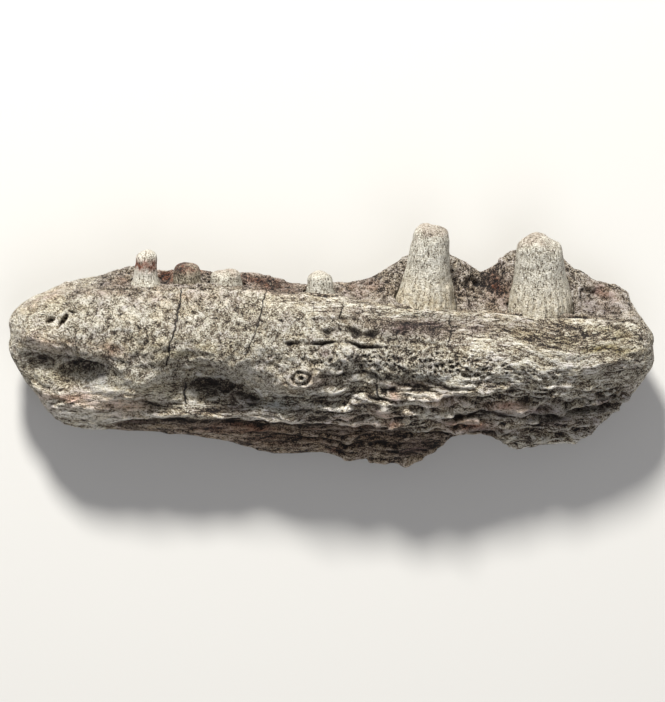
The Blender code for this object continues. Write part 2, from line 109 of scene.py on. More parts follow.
# Pits with steep walls: (x, y, half length, half width, turn in degrees, depth)
PITS = {
    "nerve_pit_left": (-45.3, 3.9, 0.9, 0.45, 24, 0.8),
    "nerve_pit_right": (-43.2, 3.9, 1.5, 0.42, 56, 1.2),
    "nerve_pit_small": (-41.6, 5.4, 0.8, 0.3, -12, 0.6),
    "nodule_back": (8.4, -8.2, 0.9, 1.3, 10, 0.8),
    "shelf_pit_front": (-27.0, 11.4, 1.1, 1.3, 0, 0.7),
    "shelf_pit_large": (23.6, 9.6, 2.0, 2.0, 0, 0.8),
    "shelf_pit_middle": (-10.6, 9.6, 2.4, 0.9, 0, 0.5),
    "shelf_pit_last": (42.0, 8.0, 1.6, 1.3, 0, 0.5),
}
# Hollows that are deep under their upper edge and rise slowly to their lower one: ovals as above
ALCOVES = {
    "front_hollow": (-40.6, -4.9, 4.4, 2.4, 4, 0.75),
    "front_nose": (-46.8, -3.4, 3.0, 1.4, 0, 0.6),
    "deep_hollow": (-17.2, -8.9, 6.6, 3.3, -14, 1.6),
    "deep_core": (-18.2, -7.3, 5.4, 1.5, -15, 1.2),
    "shoulder": (-27.2, -8.2, 3.4, 2.2, 8, 0.5),
    "rear_hollow": (41.4, -10.5, 4.6, 1.1, 4, 1.7),
    "face_dip": (-33.6, 1.2, 2.8, 1.2, 0, 0.25),
    "crack_dip": (-25.0, 4.4, 2.4, 1.8, 30, 0.25),
    "second_dip": (-18.0, 3.0, 4.6, 2.2, -20, 0.25),
    "lens_hollow": (-4.0, -9.4, 5.0, 1.4, 4, 0.45),
    "spongy_dip": (10.0, -1.6, 4.0, 1.4, -8, 0.35),
}
# Ring marks, each with a rim round a moat, and a ring round a small pit in the middle: ovals as above
RING_MARKS = {
    "eye": (-4.8, -5.4, 1.9, 1.3, 4, 0.34),
    "bump_ring": (2.6, -1.0, 1.5, 1.5, 0, 0.2),
}
# The rings of such a mark, as shares of its oval and of its height: (how far out, width, rise)
MARK_RINGS = ((1.0, 0.22, 0.8), (0.68, 0.17, -1.0), (0.36, 0.15, 0.8), (0.0, 0.18, -1.2))
# Smooth raised forms: (x, y, half length, half width, turn in degrees, height)
BOSSES = {
    "diagonal_ridge": (-39.6, -2.0, 5.6, 0.6, -15, 0.35),
    "pale_mound": (-35.4, -8.0, 3.4, 1.9, -14, 0.5),
    "wall_rib": (-22.3, -8.0, 0.8, 1.7, 4, 0.5),
    "eye_rim": (-5.0, -5.6, 2.8, 1.8, 4, 0.35),
    "pale_bump": (2.6, -1.0, 1.3, 1.3, 0, 0.5),
    "pale_bump_behind": (7.4, -1.6, 2.0, 1.0, 10, 0.4),
    "purple_swell": (11.0, 3.2, 6.0, 1.3, -5, 0.4),
    "pale_lens": (0.8, -7.3, 3.2, 0.7, 8, 0.45),
    "nodule": (8.4, -10.5, 0.9, 1.2, 0, 0.8),
    "pale_knob": (38.2, -11.9, 1.3, 0.6, 0, 0.6),
    "pink_bulge": (27.2, -10.1, 2.4, 0.9, 0, 0.4),
    "rear_bar": (16.8, -8.4, 3.4, 0.6, 4, 0.5),
    "hollow_sill": (-18.6, -12.6, 5.4, 0.45, -1, 0.35),
    "front_foot": (-38.0, -10.6, 5.0, 1.4, -6, 0.4),
    "smooth_lens": (13.8, -16.6, 2.6, 1.2, 20, 0.4),
    "arch_left": (3.4, -5.6, 3.0, 0.7, 14, 0.35),
    "last_rim": (47.0, 6.2, 3.2, 0.8, -55, 0.4),
}
# Places that stay smooth: ovals as above, with how smooth they are
SMOOTH_PLACES = [
    (47.0, 6.2, 3.6, 0.9, -55, 1.0), (-40.8, -5.0, 3.4, 1.7, 4, 0.9), (-18.0, -8.4, 4.6, 2.4, -12, 0.5),
    (-27.6, -6.4, 3.6, 2.4, 0, 0.7), (14.0, 4.6, 9.0, 0.9, -3, 0.6), (13.8, -16.6, 2.6, 1.2, 20, 1.0),
]
# Places where the bone's outer skin is gone and its spongy inside shows: ovals, with how much of it shows
SPONGY_PLACES = [
    (8.0, -2.6, 7.0, 2.6, -4, 0.9), (20.0, -3.4, 9.0, 2.8, -4, 0.9), (-1.0, -2.0, 6.0, 2.0, 0, 0.35),
    (-8.0, -3.0, 4.0, 1.6, 0, 0.25), (34.0, -5.4, 8.0, 1.8, -4, 0.4),
]
# Places where the grain leaves the bone's own direction: (x, y, half length, half width, turn, slope)
GRAIN_TURNS = [
    (31.0, 1.5, 12.0, 3.6, 0, 0.24),
    (-42.0, -1.0, 8.0, 4.0, 0, 0.3),
    (-12.0, -6.0, 9.0, 4.0, 0, 0.2),
    (44.0, -6.0, 8.0, 5.0, 0, -0.25),
]
# Places where the grain arches over something: (x, y, half length, half width, turn, rise)
GRAIN_ARCHES = [
    (4.4, -7.0, 4.0, 3.4, 0, 1.7), (-5.0, -5.0, 3.0, 2.0, 0, -0.8), (16.0, -8.8, 4.6, 1.4, 0, 0.5),
    (-36.0, -9.0, 7.0, 3.0, 0, 0.9), (28.0, -10.0, 4.0, 2.0, 0, -0.6), (-20.0, -5.6, 5.0, 2.4, 0, 1.0),
]
# The grain sways that far over waves of that size. Its patterns are stretched along the jaw and in depth
GRAIN_WAVE = 0.55
GRAIN_WAVE_SIZE = 7.0
GRAIN_STRETCH = 0.27
GRAIN_SINK = 0.5

# Where the speckled bone turns fibrous: (where that starts, where it is full), in x or, for the face, in y
FIBROUS_RIGHT = (14.0, 26.0)
FIBROUS_BAND = (-16.0, -4.0)
FIBROUS_TIP = (-41.0, -46.0)
LOW_FACE = (-5.0, -9.0)
# How far out along the jaw its broken ends begin and are full, and where the solid is softened more
ENDS = (48.5, 51.5)
SOFT_ENDS = (44.0, 49.0)

# Relief of the weathered bone: (height, size). A size is a lump's, or its three sizes along the grain, across
# it and in depth. For the layers it is how far apart they lie
LUMPS = ((0.42, 3.8), (0.34, 1.6))
LONG_LUMPS = ((0.45, (6.0, 2.2, 3.0)), (0.3, (3.4, 1.1, 1.4)))
ROUND_RIDGES = (0.3, 2.0)
LONG_RIDGES = (0.5, (6.4, 1.5, 2.2))
FINE_RIDGES = (0.15, (3.0, 0.75, 1.0))
LAYERS = (0.85, 2.3)
CELLS = (0.45, 1.05)
SPONGY_LUMPS = (0.36, 1.9)
SHELF_LUMPS = (0.22, (1.6, 1.1, 1.1))
# Grooves and lips along the parapet and the ledge: (height, how far off the line, half width)
PARAPET_GROOVE = (-0.5, 0.0, 0.3)
PARAPET_LIP = (0.18, -0.7, 0.45)
LEDGE_GROOVE = (-1.0, 0.35, 0.45)
LEDGE_LIP = (0.3, -0.5, 0.5)
CRACK_GROOVE = (-0.25, 0.0, 0.22)

# Stains, pale patches and dark patches: (x, y, half length, half width, turn in degrees, strength). The dark
# patches and the sediment marks also hold painted shade in hollows, creases and pits.
STAINS_AND_PAINTED_SHADE = {
    "rust": [
        (10.0, -7.9, 1.1, 0.9, 0, 0.8), (9.8, -12.6, 1.8, 0.8, 0, 0.6), (0.6, -16.9, 1.4, 0.6, 0, 0.8),
        (-35.4, -0.6, 3.0, 1.2, -10, 0.45), (-36.0, 8.6, 3.4, 0.6, 2, 0.5),
        (-46.5, 7.6, 4.0, 0.8, 28, 0.5), (-16.0, -12.9, 7.0, 0.9, -2, 0.8),
        (-12.0, -14.6, 8.0, 1.4, -6, 0.5), (4.0, -15.0, 9.0, 1.6, -2, 0.4),
        (22.0, -12.9, 4.6, 1.0, 0, 1.0), (12.6, -6.2, 3.6, 0.8, 0, 0.5), (30.0, -9.6, 5.0, 0.8, -4, 0.5),
        (-23.4, 12.6, 3.4, 1.6, 0, 0.8), (-14.0, 11.0, 5.0, 1.0, -10, 0.7),
        (26.4, 10.4, 1.2, 2.6, 0, 0.9), (5.0, 9.6, 4.0, 1.6, 0, 0.5), (44.4, 8.6, 2.4, 1.2, -30, 0.7),
        (28.4, 9.0, 2.0, 3.0, 0, 0.4), (-26.8, 11.6, 1.6, 1.6, 0, 1.0), (-33.6, 10.8, 2.0, 1.0, 10, 0.5),
        (-9.0, 9.8, 5.0, 1.4, -6, 0.7),
    ],
    "blush": [
        (27.4, -10.0, 3.0, 1.0, 0, 1.0), (5.6, -13.0, 3.0, 0.6, 0, 0.8), (-43.0, -8.6, 5.0, 1.6, -4, 1.0),
        (-33.0, -9.6, 5.0, 1.8, -8, 0.8), (-45.6, 0.6, 4.0, 1.4, -10, 0.8),
        (18.0, -8.8, 6.0, 1.4, 0, 0.6), (9.0, -10.4, 3.0, 1.4, 0, 0.7), (-4.0, -5.6, 4.0, 1.4, 0, 0.7),
        (0.0, -11.8, 8.0, 0.8, 0, 0.6), (24.0, 9.0, 8.0, 3.0, 0, 0.3), (-24.0, 8.0, 8.0, 1.6, 0, 0.4),
    ],
    "olive": [
        (44.2, -0.4, 5.4, 0.8, -4, 1.0), (45.4, 2.2, 2.6, 0.9, -10, 0.8), (-29.0, -7.6, 5.0, 2.4, 0, 0.5),
        (-24.0, -1.0, 8.0, 2.4, 0, 0.4), (-45.0, -5.0, 4.0, 1.6, 0, 0.4), (36.0, 1.0, 8.0, 1.2, -12, 0.4),
    ],
    "slate": [
        (-9.8, -9.4, 5.0, 1.6, -6, 0.8), (14.0, -5.4, 6.0, 2.4, 0, 0.7), (-2.0, -8.0, 5.0, 1.8, 6, 0.5),
        (-36.0, -6.4, 3.4, 1.6, 0, 0.5), (14.0, 4.8, 8.0, 0.8, -3, 0.5), (-19.0, -6.6, 3.0, 1.6, 0, 0.5),
        (30.0, -4.0, 7.0, 2.0, 0, 0.4), (-8.0, 2.6, 6.0, 1.6, 0, 0.3),
    ],
    "purple": [
        (18.0, 3.2, 8.0, 1.3, -3, 0.8), (3.6, 5.4, 3.0, 1.0, 0, 0.4), (33.7, -10.2, 3.2, 0.9, 0, 0.8),
        (-16.4, -9.4, 4.4, 1.6, -10, 0.8), (-0.8, -1.1, 1.3, 0.8, 0, 0.7), (11.6, 3.0, 6.2, 1.1, -4, 1.0),
        (43.0, 6.2, 3.6, 1.4, -8, 0.7), (13.8, -16.6, 3.0, 1.3, 18, 1.0), (36.0, -12.4, 7.0, 1.4, 0, 0.6),
        (46.0, -9.0, 4.0, 1.4, 40, 0.5), (-38.6, 9.4, 4.0, 0.9, 10, 0.5), (-25.0, 3.4, 1.6, 2.0, 0, 0.3),
        (30.0, 3.4, 8.0, 0.9, -6, 0.4), (24.0, -13.6, 7.0, 0.7, 0, 0.6),
    ],
    "pale": [
        (2.6, -0.9, 1.4, 1.3, 0, 1.1), (0.2, -7.8, 3.2, 0.55, 4, 1.3), (14.6, -9.0, 3.4, 0.8, 4, 0.8),
        (-1.7, -13.1, 1.5, 0.4, 0, 1.2), (3.0, -13.0, 1.4, 0.35, 0, 1.1),
        (-0.9, -12.0, 0.8, 0.25, 0, 1.0), (0.6, -11.0, 1.8, 0.4, 0, 0.9), (38.2, -11.9, 1.3, 0.6, 0, 1.3),
        (42.0, -12.1, 1.8, 0.5, 8, 0.9), (27.2, -10.1, 2.6, 0.9, 0, 1.0), (-1.8, -16.0, 2.4, 0.5, 0, 1.0),
        (5.6, -16.0, 1.1, 0.5, 0, 1.0), (33.0, -3.0, 11.0, 2.4, 0, 0.9), (-47.0, -7.0, 3.0, 3.0, 0, 0.5),
        (44.6, 8.0, 2.6, 2.2, -30, 0.6), (15.2, -10.6, 1.2, 0.7, 0, 0.8), (8.4, -10.5, 0.9, 1.2, 0, 1.3),
        (-40.0, -9.6, 7.0, 2.6, -6, 1.4), (27.4, -10.2, 3.0, 1.0, 0, 0.9),
        (24.0, -13.2, 4.6, 0.6, 0, 0.5), (13.4, -13.4, 8.0, 0.35, 0, 0.9),
        (33.0, -13.4, 5.0, 0.7, 0, 0.6), (21.0, -7.0, 3.0, 0.8, 0, 0.6), (-48.0, 2.0, 3.4, 4.6, 0, 0.4),
        (-34.0, 5.0, 9.0, 2.6, 0, 0.35), (-20.0, 7.6, 9.0, 1.2, 0, 0.4), (3.0, 6.2, 5.0, 0.7, -4, 0.5),
        (-18.6, -12.6, 5.6, 0.4, -1, 0.8), (-5.0, -6.6, 2.2, 0.5, 4, 0.9), (8.0, -2.6, 4.0, 1.4, 0, 0.5),
        (-22.4, -8.2, 1.1, 1.2, 4, 1.3), (5.0, 8.8, 3.4, 1.4, 0, 0.8), (42.0, 7.4, 2.4, 2.2, 0, 1.0),
        (-13.0, -10.6, 2.6, 1.0, -20, 0.6), (-30.0, 6.6, 8.0, 1.6, 0, 0.3),
        (47.2, 6.2, 3.4, 0.8, -55, 1.0), (-16.0, 9.8, 3.0, 1.2, 0, 0.5), (-45.0, 9.0, 3.0, 1.0, 20, 0.3),
        (-34.6, -8.6, 6.0, 2.6, -8, 1.3), (18.0, -10.6, 1.8, 0.6, 0, 0.9), (22.8, -9.4, 1.5, 0.5, 0, 0.8),
        (31.6, -10.8, 2.0, 0.5, 0, 0.8), (14.0, 7.2, 6.4, 1.5, 0, 1.1), (33.6, 6.2, 6.6, 1.5, 0, 0.9),
    ],
    # Dark patches: some are the bone's own dark colour, and those in the front, deep and rear hollows, in
    # creases, pits and under ledges are painted shade
    "dark": [
        (-33.8, 1.8, 1.8, 0.8, 0, 0.9), (-20.0, -6.4, 3.4, 1.1, 0, 0.8), (-30.0, -9.4, 2.6, 1.0, 0, 0.7),
        (-25.6, 4.0, 1.4, 1.6, 0, 0.5), (-15.0, 4.4, 2.6, 1.4, -20, 0.45),
        (-44.0, 4.4, 2.6, 1.8, 0, 0.35), (-31.0, 2.0, 3.0, 1.2, 10, 0.35), (-20.6, 6.0, 2.4, 0.8, 0, 0.3),
        (6.4, 2.2, 3.0, 1.2, -8, 0.7), (-6.4, 1.2, 1.8, 1.4, 0, 0.9), (7.2, -8.3, 1.0, 1.1, 0, 1.2),
        (-1.0, -10.6, 6.0, 0.9, 2, 0.5), (41.6, -10.3, 4.6, 1.0, 3, 1.0), (33.0, -12.0, 5.6, 0.7, 0, 0.6),
        (16.0, -13.0, 6.0, 0.7, 0, 0.6), (0.6, -6.3, 2.6, 0.6, 0, 0.9), (-1.2, -11.3, 0.8, 0.35, 0, 1.3),
        (11.8, -11.0, 1.7, 0.7, 0, 1.1), (10.0, -16.6, 1.6, 1.0, 0, 0.9), (4.4, -17.2, 3.4, 0.3, 0, 0.9),
        (-6.4, -11.0, 3.0, 1.0, 0, 0.5), (0.0, -14.6, 16.0, 0.9, -2, 0.7), (20.0, -3.4, 5.0, 1.0, 0, 0.3),
        (26.4, 9.0, 1.4, 2.4, 0, 0.6), (-8.6, 9.6, 4.6, 1.4, -6, 1.1), (12.5, 3.4, 9.0, 1.8, -5, 1.6),
        (37.0, 1.8, 12.0, 2.4, 0, 1.5), (-22.4, -11.4, 4.6, 0.8, 0, 1.2),
        (-20.4, -6.7, 3.8, 1.0, -9, 1.3), (-21.4, -10.7, 2.6, 0.8, 0, 1.0),
        (-15.0, -7.8, 4.0, 0.6, -22, 0.9), (-20.0, -12.0, 8.0, 0.8, 0, 0.5),
        (-27.5, -9.9, 3.6, 0.8, 0, 1.0), (38.0, -13.6, 7.0, 1.6, 0, 1.0), (24.0, 10.5, 3.8, 2.4, 0, 1.0),
        (45.4, -7.7, 3.0, 0.7, 8, 0.7), (30.0, -12.8, 5.0, 0.6, 0, 0.5), (-40.0, -3.7, 3.4, 0.8, 6, 0.9),
        (-46.4, -1.9, 2.4, 0.5, 4, 0.9),
    ],
    # Dark brown sediment lodged in hollows, creases and pits, together with painted shadow there: the rear,
    # deep and front hollows and the creases under the ledges
    "packed": [
        (41.8, -10.3, 4.6, 0.9, 3, 1.3), (47.0, -8.6, 2.6, 0.6, 10, 0.7), (25.6, -11.1, 3.4, 0.4, 2, 1.1),
        (34.0, -12.0, 4.2, 0.4, 0, 1.1), (33.6, -9.6, 2.8, 0.6, 0, 0.7), (26.4, -14.2, 6.0, 0.4, -4, 0.7),
        (7.1, -8.2, 0.8, 0.8, 0, 1.0), (-1.2, -11.4, 0.8, 0.3, 0, 1.1), (11.8, -11.0, 1.6, 0.5, 0, 0.9),
        (-20.2, -6.6, 4.0, 0.95, -9, 1.2), (-14.6, -7.8, 3.6, 0.5, -24, 1.1),
        (-41.0, -3.9, 3.0, 0.5, 6, 0.6), (-46.4, -1.9, 2.4, 0.35, 4, 0.8),
        (-27.5, -10.0, 3.4, 0.5, 0, 0.8), (0.6, -6.4, 2.2, 0.4, 0, 0.7), (6.2, -5.0, 2.0, 0.35, -12, 0.8),
        (40.0, -14.4, 5.0, 0.6, 8, 0.6), (16.0, -13.4, 6.0, 0.4, 0, 0.6),
    ],
}

# Stumps: how they lean along the jaw, the rust band as (place up the stump, strength), the rust of the broken
# top, how warm the foot is, how open the pores of the top are, and how much sediment darkens the stump
TOOTH_LOOKS = {
    "tooth_1": {"lean": 0.04, "rust": (0.78, 1.0), "top_rust": 0.05, "foot": 0.3, "top": 0.4, "dirt": 0.15},
    "tooth_2": {"lean": -0.08, "rust": (0.9, 0.5), "top_rust": 0.7, "foot": 0.2, "top": 0.8, "dirt": 1.2},
    "tooth_3": {"lean": 0.0, "rust": (1.0, 0.1), "top_rust": 0.15, "foot": 0.3, "top": 0.4, "dirt": 0.5},
    "tooth_4": {"lean": -0.02, "rust": (0.0, 0.0), "top_rust": 0.0, "foot": 0.2, "top": 0.4, "dirt": 0.4},
    "tooth_5": {"lean": 0.08, "rust": (0.0, 0.0), "top_rust": 0.05, "foot": 0.8, "top": 0.7, "dirt": 0.4},
    "tooth_6": {"lean": -0.03, "rust": (0.0, 0.0), "top_rust": 0.05, "foot": 0.5, "top": 0.7, "dirt": 0.45},
}
# How steeply the stumps rise, how far their feet flare towards the socket, and their relief as (height, size)
TOOTH_RISE = 0.34
FOOT_FLARE = 0.45
FLUTES = 9
FLUTE_DEPTH = 0.05
STRIATIONS = (0.05, 0.6)
TOOTH_LUMPS = (0.16, 2.2)
TOP_LUMPS = (0.17, 1.8)

# Sizes of the patterns in the materials. Real grit is too fine to show, so it is drawn coarser
SPECKLE = 0.5
FIBRE = 0.3125
GAP = 0.769
LONG_GAP = 0.435
GRIT = 0.2174
BLOTCH = 1.333
STREAK = 1.176
WIDE_PATCH = 6.25
HUE_PATCH = 2.381
PORE = 0.5
FOLD = 0.263
FOLD_GAP = 0.385
DENTINE_PORE = 0.385
TOOTH_BLOTCH = 1.43
# The folds of a tooth are longer up its length than round it, by this share of their scale
FOLD_STRETCH = (1.0, 1.0, 0.3)
# How deep the patterns look in the shading
BONE_BUMP = 0.9
TOOTH_BUMP = 0.7
# What lightens a surface, or darkens it where below 0: (share, the value at which it does neither)
# The ridge-and-hollow measure makes ridges paler, as wear does, and darkens hollows and crevices with painted
# shade
BONE_LIGHTNESS = {
    "weave": (0.3, 0.5), "grit": (0.75, 0.5), "gaps": (-0.21, 0.5), "blotches": (0.62, 0.5),
    "wide": (0.26, 0.5), "wear_and_crevice_shade": (0.145, 0.0), "pale": (0.115, 0.0), "dark": (-0.12, 0.0),
    "webbed": (0.9, 0.0), "shelf": (-0.02, 0.0), "spongy": (-0.06, 0.0), "flange": (-0.07, 0.0),
    "purple": (-0.03, 0.0),
}
TOOTH_LIGHTNESS = {
    "grit": (0.6, 0.5), "gaps": (-0.09, 0.65), "blotches": (0.3, 0.5), "wear_and_crevice_shade": (0.12, 0.0),
    "top": (-0.05, 0.0), "rust": (-0.05, 0.0), "dirt": (-0.08, 0.0),
}
# The tint of each stain, and its strength
BONE_TINTS = {
    "rust": ("B57A5C", 1.0), "blush": ("F6DCD2", 0.9), "olive": ("D8CD9C", 0.9), "slate": ("BAC2CA", 0.9),
    "purple": ("AA98A2", 0.95), "shelf": ("DDD8DC", 0.7), "flange": ("C4AC98", 0.6),
}
TOOTH_TINTS = {
    "foot": ("F0E2C8", 0.8), "rust": ("B0664A", 1.0), "top": ("C6B4B0", 0.7), "dirt": ("CFC8BC", 0.8),
}

# The camera's height and lens, and how far off the jaw's middle it hangs, in x and y
CAMERA_HEIGHT_M = 0.612
CAMERA_LENS = 190.0
CAMERA_SIDE = 0.16
CAMERA_DOWN = -0.76
# The lights: (place, size, watts, tint), with the place and size in metres
KEY_LIGHT = ((-0.10, 0.52, 0.43), 0.12, 9.4, "FFFEFA")
FILL_LIGHT = ((0.15, -0.35, 0.60), 0.6, 1.7, "F6F8FF")
ROOM_LIGHT = 0.28
FLOOR_M = 2.0


# Small helpers


def step_up(value, low, high):
    """0 up to low, 1 from high on, and a smooth rise between."""
    share = np.clip((value - low) / (high - low), 0, 1)
    return share * share * (3 - 2 * share)


def patch(x, y, form):
    """How far along and across an oval each point lies: 1 is its half length and its half width."""
    centre_x, centre_y, half_length, half_width, turn = form[:5]
    angle = math.radians(turn)
    along = ((x - centre_x) * math.cos(angle) + (y - centre_y) * math.sin(angle)) / half_length
    across = ((y - centre_y) * math.cos(angle) - (x - centre_x) * math.sin(angle)) / half_width
    return along, across


def soft_oval(x, y, form):
    """An oval's strength in its middle, fading softly all round."""
    along, across = patch(x, y, form)
    return form[5] * np.exp(-(along**2 + across**2))


def steep_oval(x, y, form, rough):
    """An oval's strength all over it, with a steep and ragged edge."""
    along, across = patch(x, y, form)
    return form[5] * step_up(np.sqrt(along**2 + across**2) + rough, 1.25, 0.55)


def alcove(x, y, form, rough):
    """An oval's strength under its steep and ragged upper edge, fading slowly towards its lower edge."""
    along, across = patch(x, y, form)
    chord = np.sqrt(np.clip(1 - along**2, 0.01, 1))
    level = across / chord + 0.5 * rough
    return form[5] * step_up(np.abs(along), 1.0, 0.6) * step_up(level, 1.15, 0.65) * step_up(level, -1.4, 0.7)


def ring_mark(x, y, form, rough):
    """Rings round a small pit, in an oval."""
    along, across = patch(x, y, form)
    away = np.sqrt(along**2 + across**2) + 0.3 * rough
    return form[5] * sum(rise * bell(away - radius, width) for radius, width, rise in MARK_RINGS)


def bell(away, half_width):
    """1 where away is 0, fading softly to both sides."""
    return np.exp(-((away / half_width) ** 2))


def along_line(away, form):
    """A groove or lip along a line, from its height, its place off the line and its half width."""
    height, place, half_width = form
    return height * bell(away - place, half_width)


def relief(points, lumps):
    """Lumps of several sizes, added up."""
    return sum(height * noise_at(points, size, 2) for height, size in lumps)


def noise_at(points, size, octaves=1):
    """Noise from about -1 to 1 at each point. Size is a lump's size, or its three sizes."""
    scaled = (points / np.asarray(size)).tolist()
    if octaves == 1:
        return np.array([noise.noise(p) for p in scaled])
    return np.array([noise.fractal(p, 0.9, 2.1, octaves) for p in scaled])


def cells_at(points, size):
    """How deep inside its cell each point lies, in a field of cells with thin walls: 0 on a wall."""
    nearest = np.array([noise.voronoi(p)[0][:2] for p in (points / np.asarray(size)).tolist()])
    return nearest[:, 1] - nearest[:, 0]


def line_at(line, x):
    xs, ys = zip(*line)
    return np.interp(x, xs, ys)


def within(line, x, soft):
    """1 along the line's stretch of x, and 0 past its ends."""
    low, high = line[0][0], line[-1][0]
    return step_up(x, low - soft, low + soft) * step_up(x, high + soft, high - soft)


def averaged(values, edges, rounds):
    """Values on a mesh's vertices, averaged with their neighbours' that many times over."""
    count = np.bincount(edges.ravel(), minlength=len(values)).astype(float)
    first, second = edges.T
    out = np.array(values, float)
    columns = out.reshape(len(out), -1)
    for _ in range(rounds):
        for k in range(columns.shape[1]):
            column = columns[:, k]
            total = np.bincount(first, column[second], len(column))
            total = total + np.bincount(second, column[first], len(column))
            columns[:, k] = 0.5 * column + 0.5 * total / count
    return out


def softened(values, edges, rounds):
    """Values averaged as above, but without the shrinking that comes with it."""
    once = averaged(values, edges, rounds)
    return 2 * once - averaged(once, edges, rounds)


# Meshes


def fine_copy(node_name, piece_name, voxel):
    """A copy of a CAD node, merged and remeshed to small even faces."""
    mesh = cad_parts[node_name].data.copy()
    bm = bmesh.new()
    bm.from_mesh(mesh)
    bmesh.ops.remove_doubles(bm, verts=bm.verts, dist=MERGE_DISTANCE_M)
    bm.to_mesh(mesh)
    bm.free()
    mesh.materials.clear()
    piece = bpy.data.objects.new(piece_name, mesh)
    bpy.context.scene.collection.objects.link(piece)
    remesh = piece.modifiers.new("even_faces", "REMESH")
    remesh.mode = "VOXEL"
    remesh.voxel_size = voxel * MM
    remesh.adaptivity = 0
    graph = bpy.context.evaluated_depsgraph_get()
    even = bpy.data.meshes.new_from_object(piece.evaluated_get(graph))
    piece.modifiers.clear()
    piece.data = even
    even.name = piece_name
    return piece


def thin_out(piece, most_triangles):
    """Thins a piece to so many triangles where that shows least, first of all where it looks down."""
    mesh = piece.data
    hidden = piece.vertex_groups.new(name="hidden")
    downward = mesh_normals(mesh)[:, 2] < LOOKS_DOWN
    hidden.add(np.nonzero(downward)[0].tolist(), 1.0, "REPLACE")
    hidden.add(np.nonzero(~downward)[0].tolist(), OUTER_THINNING, "REPLACE")
    thinning = piece.modifiers.new("thinning", "DECIMATE")
    thinning.ratio = most_triangles / (2 * len(mesh.polygons))
    thinning.vertex_group = hidden.name
    thinning.vertex_group_factor = THINNING_BALANCE
    graph = bpy.context.evaluated_depsgraph_get()
    thin = bpy.data.meshes.new_from_object(piece.evaluated_get(graph))
    piece.modifiers.clear()
    piece.vertex_groups.clear()
    piece.data = thin
    thin.name = piece.name


def refilled(points, box):
    """The points stretched back to fill a box, given as its (low, high) corners."""
    low, high = box
    return low + (points - points.min(axis=0)) * (high - low) / (points.max(axis=0) - points.min(axis=0))


def mesh_points(mesh):
    points = np.empty(len(mesh.vertices) * 3, np.float32)
    mesh.vertices.foreach_get("co", points)
    return points.reshape(-1, 3).astype(float) / MM


def mesh_normals(mesh):
    normals = np.empty(len(mesh.vertices) * 3, np.float32)
    mesh.vertex_normals.foreach_get("vector", normals)
    return normals.reshape(-1, 3).astype(float)


def mesh_edges(mesh):
    edges = np.empty(len(mesh.edges) * 2, np.int32)
    mesh.edges.foreach_get("vertices", edges)
    return edges.reshape(-1, 2)


def box_of(points):
    return points.min(axis=0), points.max(axis=0)


def set_points(mesh, points):
    mesh.vertices.foreach_set("co", (points * MM).astype(np.float32).ravel())
    mesh.update()


def set_attribute(mesh, name, values):
    kind, field = ("FLOAT_VECTOR", "vector") if values.ndim == 2 else ("FLOAT", "value")
    attribute = mesh.attributes.new(name, kind, "POINT")
    attribute.data.foreach_set(field, values.astype(np.float32).ravel())


def smooth_shaded(mesh):
    mesh.polygons.foreach_set("use_smooth", np.ones(len(mesh.polygons), bool))


# The bone


def grain_across(points):
    """How far across the grain each point lies: the fibres are the lines along which this stays the same."""
    x, y, _ = points.T
    across = y + GRAIN_WAVE * noise_at(points, GRAIN_WAVE_SIZE)
    for form in GRAIN_TURNS:
        along, sideways = patch(x, y, form)
        across = across + form[5] * (x - form[0]) * np.exp(-(along**2 + sideways**2))
    for form in GRAIN_ARCHES:
        across = across - soft_oval(x, y, form)
    return across


def crack_distance(points):
    """Signed distance to the nearest crack, counted larger by a thin one, and large away from them all."""
    x, y, _ = points.T
    jitter = 0.3 * noise_at(points, 1.3, 2) + 0.14 * noise_at(points, 0.6)
    nearest = np.full(len(x), FAR_FROM_CRACKS)
    for name, line in CRACKS.items():
        xs, ys = zip(*reversed(line))
        offset = (x - np.interp(y, ys, xs) + jitter) / CRACK_WIDTHS.get(name, 1)
        past_ends = np.maximum(0, np.maximum(ys[0] - y, y - ys[-1]))
        offset = offset + np.copysign(past_ends * 1.2, offset)
        nearest = np.where(np.abs(offset) < np.abs(nearest), offset, nearest)
    return nearest


def creases_at(points):
    """How far the creases lower each point, and how much their bottoms are darkened there, 0 to 1: sediment
    in them and painted shade.
    """
    x, y, _ = points.T
    rough = 0.22 * noise_at(points, 1.5, 3)
    uneven = 0.45 + 0.9 * np.clip(0.5 + noise_at(points, 2.6, 2), 0, 1)
    lowered, filled = np.zeros(len(x)), np.zeros(len(x))
    for line, width, depth, step in CREASES.values():
        offset = y - line_at(line, x) + rough
        reach = within(line, x, 1.6) * uneven
        bottom = reach * depth * bell(offset, width)
        lowered += bottom + reach * step * step_up(offset, 0.25, -0.25) * step_up(offset, -2.8, -0.3)
        # The crease bottoms are darkened, for sediment in them and for painted shade
        filled = np.maximum(filled, 1.4 * bottom)
    return lowered, np.clip(filled, 0, 1)


